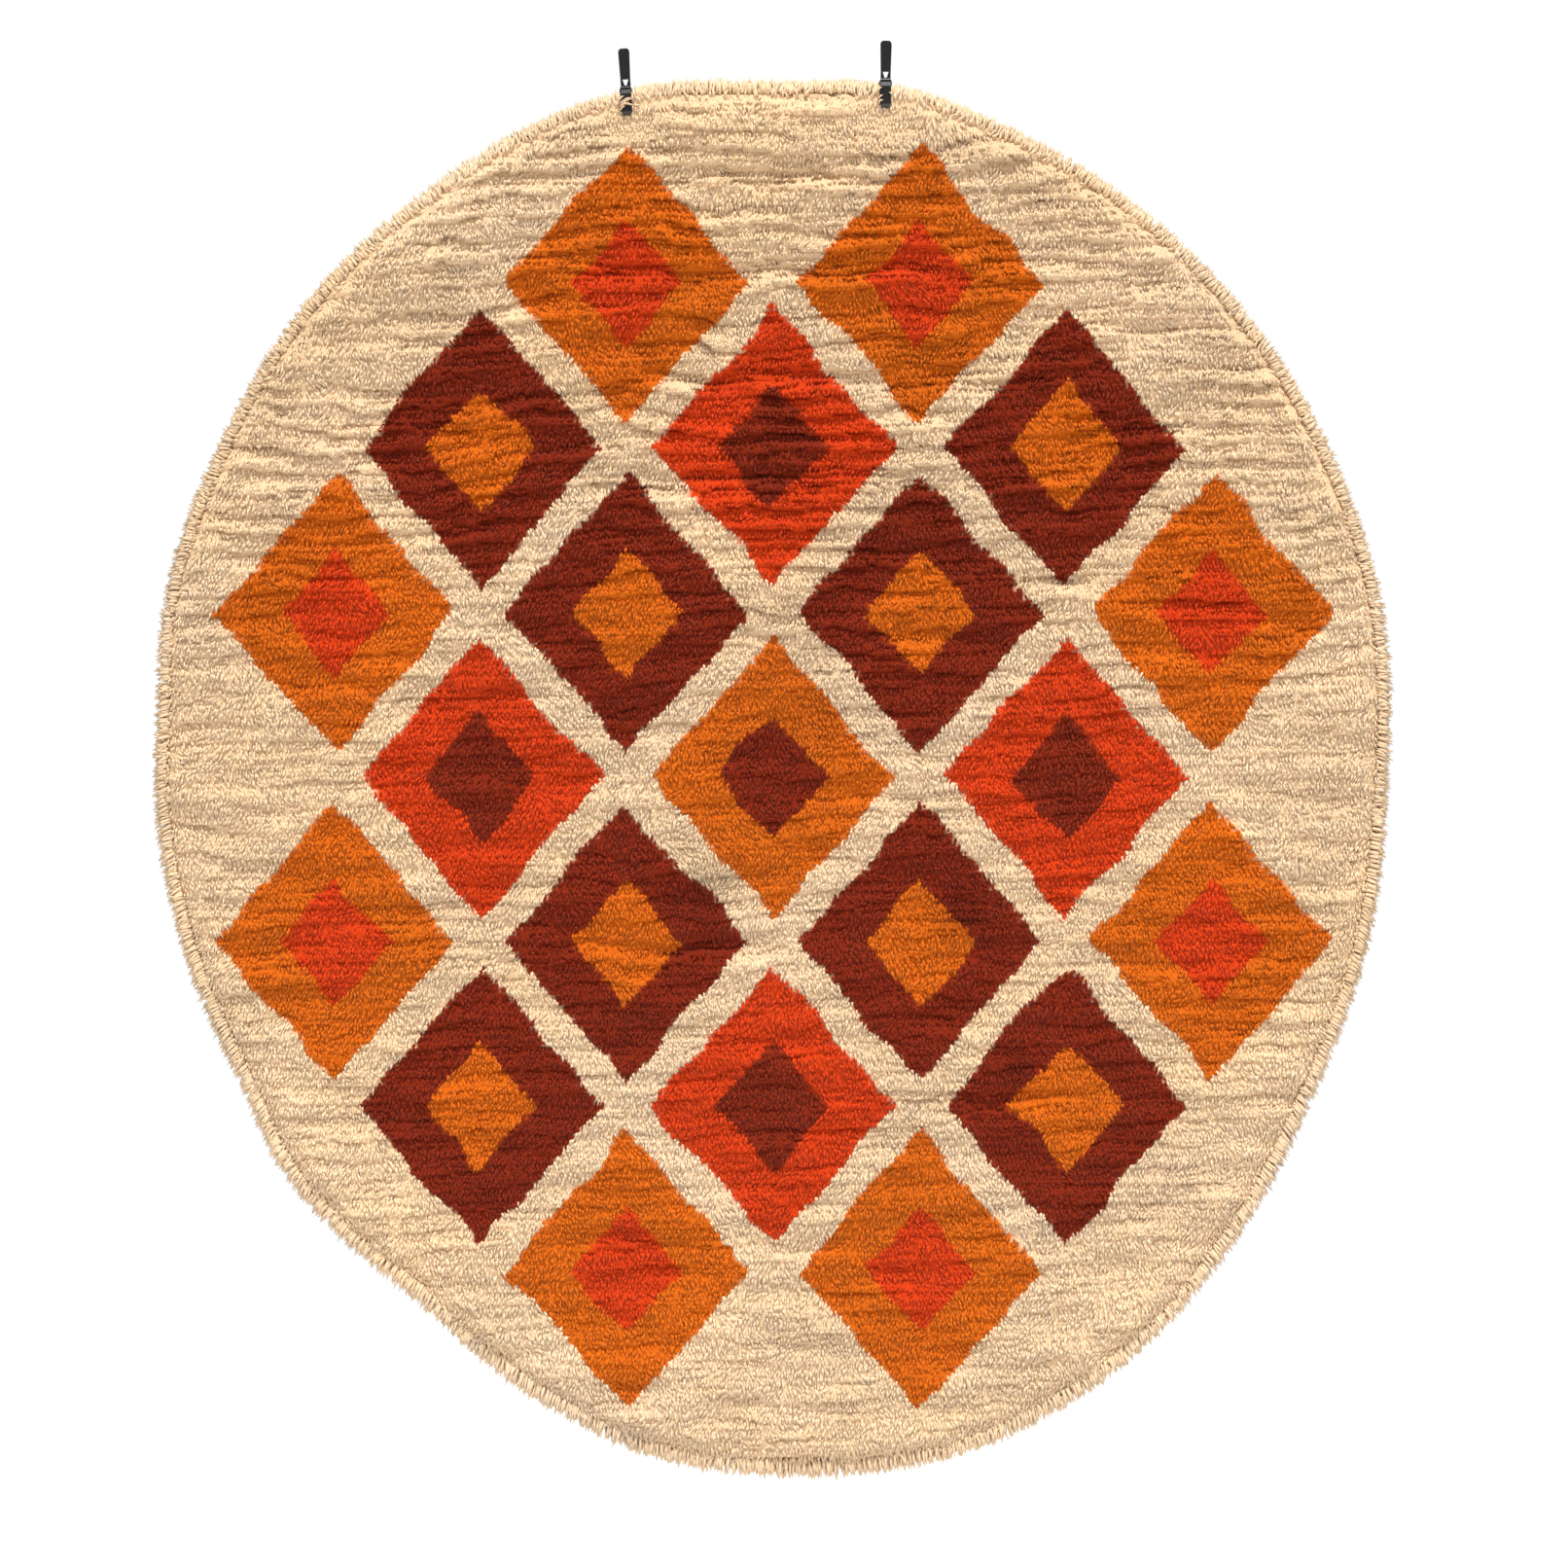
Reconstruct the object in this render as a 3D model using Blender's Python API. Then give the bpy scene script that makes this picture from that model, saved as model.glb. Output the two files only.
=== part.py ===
"""A round long-pile rya rug hanging by its top edge from two plain spring clips.

Metres, +Z up, and the pile faces -Y. The origin is midway between the tops of the clips,
where the rug is held up. The rug is one solid: a lumpy slab of pile on its ground cloth,
creased across by its own weight, with locks of yarn standing out round its rim.
"""

import math
import random

import bmesh
import bpy
from mathutils import Matrix, Vector, noise
from mathutils.geometry import delaunay_2d_cdt

# The rug's middle, seen from the point midway between the clips.
RUG_MIDDLE_X = 0.028
RUG_MIDDLE_Z = -1.114

# How far the yarn ends reach from the rug's middle. The rug was made round, 2.0 m across,
# and hangs drawn out into an egg with a flat top and an uneven left side.
OUTLINE = (
    # degrees round from the right-hand side, reach
    (0, 0.942),
    (15, 0.969),
    (30, 0.990),
    (45, 1.014),
    (60, 1.039),
    (70, 1.055),
    (80, 1.073),
    (90, 1.062),
    (100, 1.073),
    (110, 1.063),
    (120, 1.042),
    (135, 1.017),
    (150, 0.989),
    (164, 0.972),
    (173, 0.951),
    (182, 0.947),
    (195, 0.940),
    (210, 0.937),
    (218, 0.956),
    (227, 0.959),
    (235, 0.959),
    (243, 0.986),
    (252, 1.020),
    (260, 1.045),
    (270, 1.058),
    (285, 1.065),
    (300, 1.040),
    (315, 0.995),
    (330, 0.955),
    (345, 0.944),
)

FARTHEST = max(reach for _, reach in OUTLINE)

# Pile and ground cloth.
GROUND_BACK = 0.0015
PILE_DEPTH = 0.021
LUMP_HEIGHT = 0.009
LUMP_WIDTH = 0.110
LUMP_TALLNESS = 0.040
LUMP_SLICE = 3.7
LEAST_DEPTH = 0.008
SHOULDER_DEPTH = 0.011

# The deep creases across the pile, where the rows part.
CREASES = (
    # middle x, height z, half length, half width, depth, wander of its line
    (0.02, -0.205, 0.230, 0.014, 0.009, 0.016),
    (-0.02, -0.345, 0.300, 0.016, 0.010, 0.020),
    (0.62, -0.430, 0.160, 0.012, 0.006, 0.018),
    (0.10, -0.510, 0.420, 0.016, 0.011, 0.024),
    (0.07, -0.665, 0.400, 0.014, 0.009, 0.020),
    (-0.52, -0.590, 0.180, 0.013, 0.007, 0.020),
    (0.50, -0.800, 0.200, 0.012, 0.007, 0.024),
    (-0.45, -0.980, 0.260, 0.012, 0.006, 0.024),
    (0.30, -1.140, 0.320, 0.012, 0.005, 0.024),
    (-0.20, -1.370, 0.330, 0.012, 0.005, 0.020),
    (0.25, -1.600, 0.300, 0.012, 0.006, 0.024),
    (-0.10, -1.820, 0.260, 0.012, 0.005, 0.020),
)
CREASE_WANDER_LENGTH = 0.075
CREASE_SLICES = 9.0

# The slow bends of the cloth out of its plane.
SIDE_SET_BACK = 0.016
BELLY = 0.009
BELLY_SPAN = 0.95
BELLY_DROP = 1.9
BENDS_START = 0.16
BENDS_FULL = 0.75

# Points of the mesh.
LOCK_COUNT = 280
COURSE_PITCH = 0.026
COURSE_STEP = 0.054
COURSE_WANDER = 0.012
COURSE_WANDER_LENGTH = 0.14
COURSE_SLICES = 0.35
BACK_PITCH = 0.095
CLEAR_OF_RIM = 0.013
OUTLINE_SAMPLES = 720
MERGE_DISTANCE = 1e-5

# Locks of yarn round the rim.
LOCK_REACH = 0.016
LOCK_REACH_SPREAD = 0.35
LOCK_LEAN = 0.006
LOCK_DROOP = 0.004
LOCK_TIP_SHARE = 0.32
LOCK_SEED = 41

# The two clips: one shape, hung at the places and tilts in the table.
CLIPS = (
    # name, x of its top, z of its top, tilt in degrees
    ("left", -0.1995, -0.0059, -3.4),
    ("right", 0.1995, 0.0059, 0.8),
)
CLIP_LENGTH = 0.104
STRAP_WIDTH = 0.0172
NECK_WIDTH = 0.0152
STRAP_THICKNESS = 0.003
STRAP_LENGTH = 0.047
STRAP_TOP = (
    # how far down the strap's rounded top, share of its width there
    (0.0, 0.52),
    (0.0012, 0.78),
    (0.0034, 0.96),
    (0.0065, 1.0),
)
WINDOW_WIDTH = 0.0090
WINDOW_LENGTH = 0.0130
JAW_WIDTH = 0.0165
JAW_TIP_WIDTH = 0.0120
JAW_THICKNESS = 0.0025
JAW_RISE = 0.0070
BARREL_DROP = 0.0650
BARREL_RADIUS = 0.0038
BARREL_LENGTH = 0.0192
BARREL_SIDES = 16
PINCHED_DEPTH = 0.009
PINCH_HALF_WIDTH = 0.022
PINCH_FADE = 0.045
PINCH_STEP = 0.011
PINCH_ROWS = 14
PINCHED_AREA = 0.35
PINCHED_REACH = 0.25
JAW_CLEARANCE = 0.0008
PIECE_GAP = 0.0003
CLIP_BEVEL = 0.0006


def clear_scene():
    """Empties the scene of its objects."""
    for obj in list(bpy.data.objects):
        bpy.data.objects.remove(obj, do_unlink=True)


def make_material(name, colour, roughness, metallic=0.0):
    """A plain Principled finish."""
    material = bpy.data.materials.new(name)
    material.use_nodes = True
    shader = material.node_tree.nodes["Principled BSDF"]
    shader.inputs["Base Color"].default_value = (*colour, 1.0)
    shader.inputs["Roughness"].default_value = roughness
    shader.inputs["Metallic"].default_value = metallic
    material.diffuse_color = (*colour, 1.0)
    return material


def make_object(name, shape, material):
    """Turns a bmesh into a named object with a material."""
    mesh = bpy.data.meshes.new(name)
    shape.to_mesh(mesh)
    shape.free()
    mesh.materials.append(material)
    obj = bpy.data.objects.new(name, mesh)
    bpy.context.scene.collection.objects.link(obj)
    return obj


def smooth_step(low, high, value):
    """0 below low, 1 above high, and a soft rise between."""
    share = min(max((value - low) / (high - low), 0.0), 1.0)
    return share * share * (3.0 - 2.0 * share)


def outline_reach(degrees):
    """How far the rug reaches from its middle, on a smooth closed curve through the stations."""
    count = len(OUTLINE)
    degrees %= 360.0
    here = max(i for i in range(count) if OUTLINE[i][0] <= degrees)

    def station(i):
        turn, i = divmod(i, count)
        return OUTLINE[i][0] + 360.0 * turn, OUTLINE[i][1]

    (d0, r0), (d1, r1), (d2, r2), (d3, r3) = (station(here + k) for k in (-1, 0, 1, 2))
    t = (degrees - d1) / (d2 - d1)
    slope_1 = (r2 - r0) / (d2 - d0) * (d2 - d1)
    slope_2 = (r3 - r1) / (d3 - d1) * (d2 - d1)
    return (
        (2 * t**3 - 3 * t**2 + 1) * r1
        + (t**3 - 2 * t**2 + t) * slope_1
        + (3 * t**2 - 2 * t**3) * r2
        + (t**3 - t**2) * slope_2
    )


def edge_point(degrees, inset):
    """A point of the outline, drawn in towards the middle by inset."""
    angle = math.radians(degrees)
    reach = outline_reach(degrees) - inset
    return Vector((RUG_MIDDLE_X + reach * math.cos(angle), RUG_MIDDLE_Z + reach * math.sin(angle)))


def room_inside(x, z, inset):
    """How far a point lies inside the drawn-in outline, below zero outside it."""
    across = x - RUG_MIDDLE_X
    up = z - RUG_MIDDLE_Z
    degrees = math.degrees(math.atan2(up, across))
    return outline_reach(degrees) - inset - math.hypot(across, up)


def clip_pinch(x, z):
    """0 where a clip presses the pile flat, 1 clear of both clips."""
    pinch = 1.0
    for _, top_x, top_z, tilt in CLIPS:
        middle = top_x + math.sin(math.radians(-tilt)) * (top_z - z)
        beside = abs(x - middle) - PINCH_HALF_WIDTH
        below = (top_z - CLIP_LENGTH - CLIP_BEVEL) - z - PINCH_STEP
        away = math.hypot(max(beside, 0.0), max(below, 0.0))
        pinch = min(pinch, smooth_step(0.0, PINCH_FADE, away))
    return pinch


def crease_depth(x, z):
    """How deep the rows part here."""
    depth = 0.0
    for middle, height, half_length, half_width, deep, wander in CREASES:
        along = (x - middle) / half_length
        if abs(along) >= 1.0:
            continue
        line = height + wander * noise.noise((x / CREASE_WANDER_LENGTH, height * CREASE_SLICES, 0.5))
        across = (z - line) / half_width
        depth = max(depth, deep * (1.0 - along * along) * math.exp(-across * across))
    return depth


def pile_depth(x, z):
    """From the ground cloth's middle out to the pile's face."""
    lump = noise.noise((x / LUMP_WIDTH, LUMP_SLICE, z / LUMP_TALLNESS))
    full = max(PILE_DEPTH + LUMP_HEIGHT * lump - crease_depth(x, z), LEAST_DEPTH)
    return PINCHED_DEPTH + (full - PINCHED_DEPTH) * clip_pinch(x, z)


def set_back(x, z):
    """How far the cloth bends back from its plane here."""
    loose = smooth_step(BENDS_START, BENDS_FULL, -z)
    across = (x - RUG_MIDDLE_X) / outline_reach(0.0)
    belly = math.cos(math.pi * (x - RUG_MIDDLE_X) / BELLY_SPAN) * math.sin(-math.pi * z / BELLY_DROP)
    return loose * (SIDE_SET_BACK * across * across - BELLY * belly)


def rim_points():
    """The slab's edge as evenly spaced points, right round."""
    count = OUTLINE_SAMPLES
    fine = [edge_point(360.0 * i / count, LOCK_REACH) for i in range(count)]
    runs = [(fine[(i + 1) % count] - fine[i]).length for i in range(count)]
    spacing = sum(runs) / LOCK_COUNT
    points = []
    travelled = 0.0
    for i, run in enumerate(runs):
        while len(points) < LOCK_COUNT and len(points) * spacing <= travelled + run:
            share = (len(points) * spacing - travelled) / run
            points.append(fine[i].lerp(fine[(i + 1) % count], share))
        travelled += run
    return points


def course_points():
    """Points along the wandering courses of the pile, closer together where the clips press it."""
    across = math.ceil(2.0 * FARTHEST / COURSE_STEP)
    points = []
    for row in range(math.ceil(2.0 * FARTHEST / COURSE_PITCH)):
        height = RUG_MIDDLE_Z - FARTHEST + row * COURSE_PITCH
        for column in range(across):
            x = RUG_MIDDLE_X - FARTHEST + COURSE_STEP * (column + 0.5 * (row % 2))
            bend = noise.noise((x / COURSE_WANDER_LENGTH, row * COURSE_SLICES, 0.5))
            points.append(Vector((x, height + COURSE_WANDER * bend)))
    points = [p for p in points if clip_pinch(p.x, p.y) > PINCHED_AREA]
    half = round((PINCH_HALF_WIDTH + 0.5 * PINCH_FADE) / PINCH_STEP)
    for _, top_x, top_z, _ in CLIPS:
        for column in range(-half, half + 1):
            for step in range(PINCH_ROWS):
                x = top_x + column * PINCH_STEP
                z = top_z - STRAP_LENGTH - step * PINCH_STEP
                if clip_pinch(x, z) <= PINCHED_AREA:
                    points.append(Vector((x, z)))
    return [p for p in points if room_inside(p.x, p.y, LOCK_REACH) > CLEAR_OF_RIM]


def back_points():
    """Wide-set points over the back of the ground cloth."""
    steps = math.ceil(FARTHEST / BACK_PITCH)
    points = []
    for row in range(-steps, steps + 1):
        for column in range(-steps, steps + 1):
            x = RUG_MIDDLE_X + (column + 0.5 * (row % 2)) * BACK_PITCH
            z = RUG_MIDDLE_Z + row * BACK_PITCH
            if room_inside(x, z, LOCK_REACH) > 0.5 * BACK_PITCH:
                points.append(Vector((x, z)))
    return points


def add_face_sheet(shape, rim, inside, depth_at, facing_front):
    """Meshes one face of the slab and returns its rim vertices in order."""
    corners = rim + inside
    ring = list(range(len(rim)))
    places, _, faces, sources, _, _ = delaunay_2d_cdt(corners, [], [ring], 1, MERGE_DISTANCE)
    verts = [shape.verts.new((p.x, depth_at(p.x, p.y), p.y)) for p in places]
    for face in faces:
        order = face if facing_front else reversed(face)
        shape.faces.new([verts[i] for i in order])
    where = {source: i for i, found in enumerate(sources) for source in found}
    return [verts[where[i]] for i in ring]


def front_depth(rim_set):
    """The depth of the pile's face, lower at its shoulder round the rim."""

    def depth_at(x, z):
        full = pile_depth(x, z)
        if (round(x, 5), round(z, 5)) in rim_set:
            full = PINCHED_DEPTH + (min(full, SHOULDER_DEPTH) - PINCHED_DEPTH) * clip_pinch(x, z)
        return set_back(x, z) - full

    return depth_at


def raise_locks(shape, walls):
    """Draws each wall face of the rim out into a four-sided lock."""
    draws = random.Random(LOCK_SEED)
    for wall in walls:
        middle = wall.calc_center_median()
        outward = Vector((middle.x - RUG_MIDDLE_X, 0.0, middle.z - RUG_MIDDLE_Z)).normalized()
        along = Vector((-outward.z, 0.0, outward.x))
        tip_face = bmesh.ops.extrude_discrete_faces(shape, faces=[wall])["faces"][0]
        pinch = clip_pinch(middle.x, middle.z)
        reach = LOCK_REACH * (1.0 - LOCK_REACH_SPREAD * draws.random())
        reach *= PINCHED_REACH + (1.0 - PINCHED_REACH) * pinch
        lean = LOCK_LEAN * (2.0 * draws.random() - 1.0) * pinch
        droop = LOCK_DROOP * draws.random() * (1.0 - 0.5 * max(outward.z, 0.0))
        shift = outward * reach + along * lean - Vector((0.0, 0.0, droop))
        for vert in tip_face.verts:
            vert.co = middle + (vert.co - middle) * LOCK_TIP_SHARE + shift


def build_rug(material):
    """The slab of pile on its ground cloth, with its locks."""
    shape = bmesh.new()
    rim = rim_points()
    rim_set = {(round(p.x, 5), round(p.y, 5)) for p in rim}
    front = add_face_sheet(shape, rim, course_points(), front_depth(rim_set), True)
    back = add_face_sheet(shape, rim, back_points(), lambda x, z: set_back(x, z) + GROUND_BACK, False)
    walls = []
    for i, vert in enumerate(front):
        after = (i + 1) % len(front)
        walls.append(shape.faces.new((vert, back[i], back[after], front[after])))
    shape.normal_update()
    raise_locks(shape, walls)
    bmesh.ops.recalc_face_normals(shape, faces=shape.faces)
    rug = make_object("rug", shape, material)
    rug.data.shade_smooth()
    rug.data.set_sharp_from_angle(angle=math.radians(50.0))
    return rug


def strip_along(profile, thickness):
    """A bent flat strip: its middle line in side view (y, z) and its width along X at each."""
    shape = bmesh.new()
    lines = []
    for i, (y, z, width) in enumerate(profile):
        before = Vector(profile[max(i - 1, 0)][:2])
        after = Vector(profile[min(i + 1, len(profile) - 1)][:2])
        run = (after - before).normalized()
        normal = Vector((-run.y, run.x)) * thickness / 2.0
        corners = (
            (-width / 2.0, y + normal.x, z + normal.y),
            (width / 2.0, y + normal.x, z + normal.y),
            (width / 2.0, y - normal.x, z - normal.y),
            (-width / 2.0, y - normal.x, z - normal.y),
        )
        lines.append([shape.verts.new(corner) for corner in corners])
    for upper, lower in zip(lines, lines[1:]):
        for k in range(4):
            shape.faces.new((upper[k], upper[(k + 1) % 4], lower[(k + 1) % 4], lower[k]))
    shape.faces.new(lines[0])
    shape.faces.new(reversed(lines[-1]))
    bmesh.ops.recalc_face_normals(shape, faces=shape.faces)
    return shape


def add_bevel(obj):
    """Softens the edges of a clip's piece."""
    bevel = obj.modifiers.new("soft_edges", "BEVEL")
    bevel.width = CLIP_BEVEL
    bevel.segments = 1
    bevel.limit_method = "ANGLE"
    bevel.angle_limit = math.radians(40.0)


def window_cutter():
    """A three-sided prism, point down, for the window under the strap."""
    shape = bmesh.new()
    half = WINDOW_WIDTH / 2.0
    top = -STRAP_LENGTH
    corners = ((-half, top), (half, top), (0.0, top - WINDOW_LENGTH))
    reach = 4.0 * STRAP_THICKNESS
    base = [shape.verts.new((x, -reach, z)) for x, z in corners]
    face = shape.faces.new(base)
    extruded = bmesh.ops.extrude_face_region(shape, geom=[face])["geom"]
    moved = [item for item in extruded if isinstance(item, bmesh.types.BMVert)]
    bmesh.ops.translate(shape, verts=moved, vec=(0.0, 2.0 * reach, 0.0))
    bmesh.ops.recalc_face_normals(shape, faces=shape.faces)
    return shape


def build_hanger(side, material, cutter, place):
    """The strap, its windowed neck and the jaw behind the rug, one bent strip."""
    behind = GROUND_BACK + PIECE_GAP + STRAP_THICKNESS / 2.0 + CLIP_BEVEL / 2.0
    rounded_top = [(0.0, -down, STRAP_WIDTH * share) for down, share in STRAP_TOP]
    profile = (
        *rounded_top,
        (0.0, -STRAP_LENGTH, NECK_WIDTH),
        (behind * 0.55, -STRAP_LENGTH - 0.006, NECK_WIDTH),
        (behind, -STRAP_LENGTH - 0.012, NECK_WIDTH),
        (behind, -BARREL_DROP, JAW_WIDTH),
        (behind, -CLIP_LENGTH + 0.004, JAW_WIDTH),
        (behind, -CLIP_LENGTH, JAW_TIP_WIDTH),
    )
    hanger = make_object(f"{side}_clip_hanger", strip_along(profile, STRAP_THICKNESS), material)
    cut = hanger.modifiers.new("window", "BOOLEAN")
    cut.operation = "DIFFERENCE"
    cut.object = cutter
    add_bevel(hanger)
    hanger.parent = place
    return hanger


def build_jaw(side, material, place):
    """The jaw that presses on the pile, hooked over the barrel at its top."""
    front = -(PINCHED_DEPTH + JAW_CLEARANCE + JAW_THICKNESS / 2.0)
    barrel_front = -(BARREL_RADIUS * 2.0 + PIECE_GAP + JAW_THICKNESS / 2.0)
    jaw_top = -BARREL_DROP + JAW_RISE
    profile = (
        (barrel_front + 0.0035, jaw_top, JAW_TIP_WIDTH),
        (barrel_front, jaw_top - 0.003, JAW_WIDTH),
        (barrel_front, -BARREL_DROP, JAW_WIDTH),
        (front, -BARREL_DROP - BARREL_RADIUS - 0.002, JAW_WIDTH),
        (front, -CLIP_LENGTH + 0.006, JAW_WIDTH),
        (front - 0.0015, -CLIP_LENGTH, JAW_TIP_WIDTH),
    )
    jaw = make_object(f"{side}_clip_jaw", strip_along(profile, JAW_THICKNESS), material)
    add_bevel(jaw)
    jaw.parent = place
    return jaw


def build_barrel(side, material, place):
    """The spring's barrel, between the two jaws and above the rug's edge."""
    shape = bmesh.new()
    turn = Matrix.Rotation(math.radians(90.0), 4, "Y")
    middle_y = STRAP_THICKNESS / 2.0 - BARREL_RADIUS - PIECE_GAP
    bmesh.ops.create_cone(
        shape,
        cap_ends=True,
        segments=BARREL_SIDES,
        radius1=BARREL_RADIUS,
        radius2=BARREL_RADIUS,
        depth=BARREL_LENGTH,
        matrix=Matrix.Translation((0.0, middle_y, -BARREL_DROP)) @ turn,
    )
    barrel = make_object(f"{side}_clip_barrel", shape, material)
    barrel.data.shade_smooth()
    barrel.data.set_sharp_from_angle(angle=math.radians(40.0))
    add_bevel(barrel)
    barrel.parent = place
    return barrel


def build_clip(side, top_x, top_z, tilt, black, dark_steel):
    """One clip, hung from its top and tilted about it."""
    place = bpy.data.objects.new(f"{side}_clip_place", None)
    bpy.context.scene.collection.objects.link(place)
    place.location = (top_x, 0.0, top_z)
    place.rotation_euler = (0.0, math.radians(tilt), 0.0)
    cutter = make_object(f"{side}_clip_window_cutter", window_cutter(), black)
    cutter.hide_render = True
    cutter.display_type = "WIRE"
    cutter.parent = place
    build_hanger(side, black, cutter, place)
    build_jaw(side, black, place)
    build_barrel(side, dark_steel, place)


def main():
    """Builds the rug and its clips."""
    clear_scene()
    wool = make_material("cream_wool", (0.74, 0.58, 0.38), 0.95)
    black = make_material("black_clip", (0.012, 0.012, 0.014), 0.45)
    dark_steel = make_material("dark_steel", (0.05, 0.05, 0.055), 0.35, 0.8)
    build_rug(wool)
    for side, top_x, top_z, tilt in CLIPS:
        build_clip(side, top_x, top_z, tilt, black, dark_steel)


main()
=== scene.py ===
"""A round rya rug hanging by two clips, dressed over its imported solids.

The rug is a woven ground cloth with close rows of hanging wool locks, cut and coloured in a
generic layout of nested lozenges. Metres, +Z up, and the pile faces -Y.
"""

from __future__ import annotations

import logging
import math
from dataclasses import dataclass
from enum import Enum

import bpy
import numpy as np
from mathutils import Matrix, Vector, noise


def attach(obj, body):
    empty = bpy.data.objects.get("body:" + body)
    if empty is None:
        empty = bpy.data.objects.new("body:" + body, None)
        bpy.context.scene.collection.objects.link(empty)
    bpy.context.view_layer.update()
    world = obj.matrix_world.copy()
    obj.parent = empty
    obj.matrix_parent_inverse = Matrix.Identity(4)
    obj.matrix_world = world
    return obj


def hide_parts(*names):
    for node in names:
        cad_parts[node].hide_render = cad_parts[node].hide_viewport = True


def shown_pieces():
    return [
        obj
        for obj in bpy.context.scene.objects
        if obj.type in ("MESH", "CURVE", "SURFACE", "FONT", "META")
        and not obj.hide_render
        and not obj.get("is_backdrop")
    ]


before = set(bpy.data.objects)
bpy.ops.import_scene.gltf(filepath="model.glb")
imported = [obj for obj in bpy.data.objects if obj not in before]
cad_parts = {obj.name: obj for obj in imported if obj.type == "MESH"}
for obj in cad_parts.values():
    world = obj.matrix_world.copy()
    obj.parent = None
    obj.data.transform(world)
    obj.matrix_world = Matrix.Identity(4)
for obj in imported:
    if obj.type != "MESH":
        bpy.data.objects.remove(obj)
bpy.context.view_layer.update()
LOG = logging.getLogger("rya_rug")
Colour = tuple[float, float, float]
# how a lock's three sides share its thickness behind and before its middle line
BACK_SHARE = 0.3
FRONT_SHARE = 0.55


class Yarn(Enum):
    """The dyed wools of the pile, as linear colours."""

    CREAM = (0.800, 0.615, 0.425)
    RUST = (0.215, 0.0195, 0.0045)
    ORANGE = (0.620, 0.138, 0.0060)
    RED_ORANGE = (0.610, 0.050, 0.0055)


class Slot(Enum):
    """The record's material slots."""

    WOOL = "wool_pile"
    CLIP = "black_clip"
    STEEL = "dark_steel"


def soft_noise(*lines: np.ndarray | float) -> np.ndarray:
    """Smooth noise from about -0.7 to 0.7.

    Args:
        lines: Three coordinates, each an array or one number for all.

    Returns:
        One value for each place.
    """
    places = np.stack(np.broadcast_arrays(*lines), axis=-1).reshape(-1, 3)
    values = np.array([noise.noise(place) for place in places.tolist()])
    return values.reshape(np.broadcast(*lines).shape)


def smooth_step(low: float, high: float, value: np.ndarray) -> np.ndarray:
    """Rises softly from 0 to 1.

    Args:
        low: Where the rise starts.
        high: Where it ends.
        value: The places on the way.

    Returns:
        0 below low, 1 above high, and a soft rise between.
    """
    share = np.clip((value - low) / (high - low), 0.0, 1.0)
    return share * share * (3.0 - 2.0 * share)


@dataclass(frozen=True)
class Outline:
    """The rug's edge as it hangs, by its reach from the rug's middle."""

    middle_x: float = 0.028
    middle_z: float = -1.114
    ground_inset: float = 0.016
    stations: tuple[tuple[float, float], ...] = (
        # degrees round from the right-hand side, reach
        (0, 0.942),
        (15, 0.969),
        (30, 0.990),
        (45, 1.014),
        (60, 1.039),
        (70, 1.055),
        (80, 1.073),
        (90, 1.062),
        (100, 1.073),
        (110, 1.063),
        (120, 1.042),
        (135, 1.017),
        (150, 0.989),
        (164, 0.972),
        (173, 0.951),
        (182, 0.947),
        (195, 0.940),
        (210, 0.937),
        (218, 0.956),
        (227, 0.959),
        (235, 0.959),
        (243, 0.986),
        (252, 1.020),
        (260, 1.045),
        (270, 1.058),
        (285, 1.065),
        (300, 1.040),
        (315, 0.995),
        (330, 0.955),
        (345, 0.944),
    )

    @property
    def farthest(self) -> float:
        """The longest reach."""
        return max(reach for _, reach in self.stations)

    def reach(self, degrees: np.ndarray) -> np.ndarray:
        """Reads the smooth closed curve through the stations.

        Args:
            degrees: Directions, round from the right-hand side.

        Returns:
            The reach in each direction.
        """
        angles = np.array([angle for angle, _ in self.stations], float)
        reaches = np.array([reach for _, reach in self.stations])
        angles = np.concatenate([angles[-2:] - 360.0, angles, angles[:3] + 360.0])
        reaches = np.concatenate([reaches[-2:], reaches, reaches[:3]])
        degrees = np.asarray(degrees, float) % 360.0
        i = np.searchsorted(angles, degrees, side="right") - 1
        span = angles[i + 1] - angles[i]
        t = (degrees - angles[i]) / span
        slope_1 = (reaches[i + 1] - reaches[i - 1]) / (angles[i + 1] - angles[i - 1]) * span
        slope_2 = (reaches[i + 2] - reaches[i]) / (angles[i + 2] - angles[i]) * span
        return (
            (2 * t**3 - 3 * t**2 + 1) * reaches[i]
            + (t**3 - 2 * t**2 + t) * slope_1
            + (3 * t**2 - 2 * t**3) * reaches[i + 1]
            + (t**3 - t**2) * slope_2
        )

    def room(self, x: np.ndarray, z: np.ndarray) -> np.ndarray:
        """How far places lie inside the ground cloth's edge.

        Args:
            x: Places across.
            z: Heights.

        Returns:
            The distance along the reach, below zero outside the edge.
        """
        across, up = x - self.middle_x, z - self.middle_z
        degrees = np.degrees(np.arctan2(up, across))
        return self.reach(degrees) - self.ground_inset - np.hypot(across, up)


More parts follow.
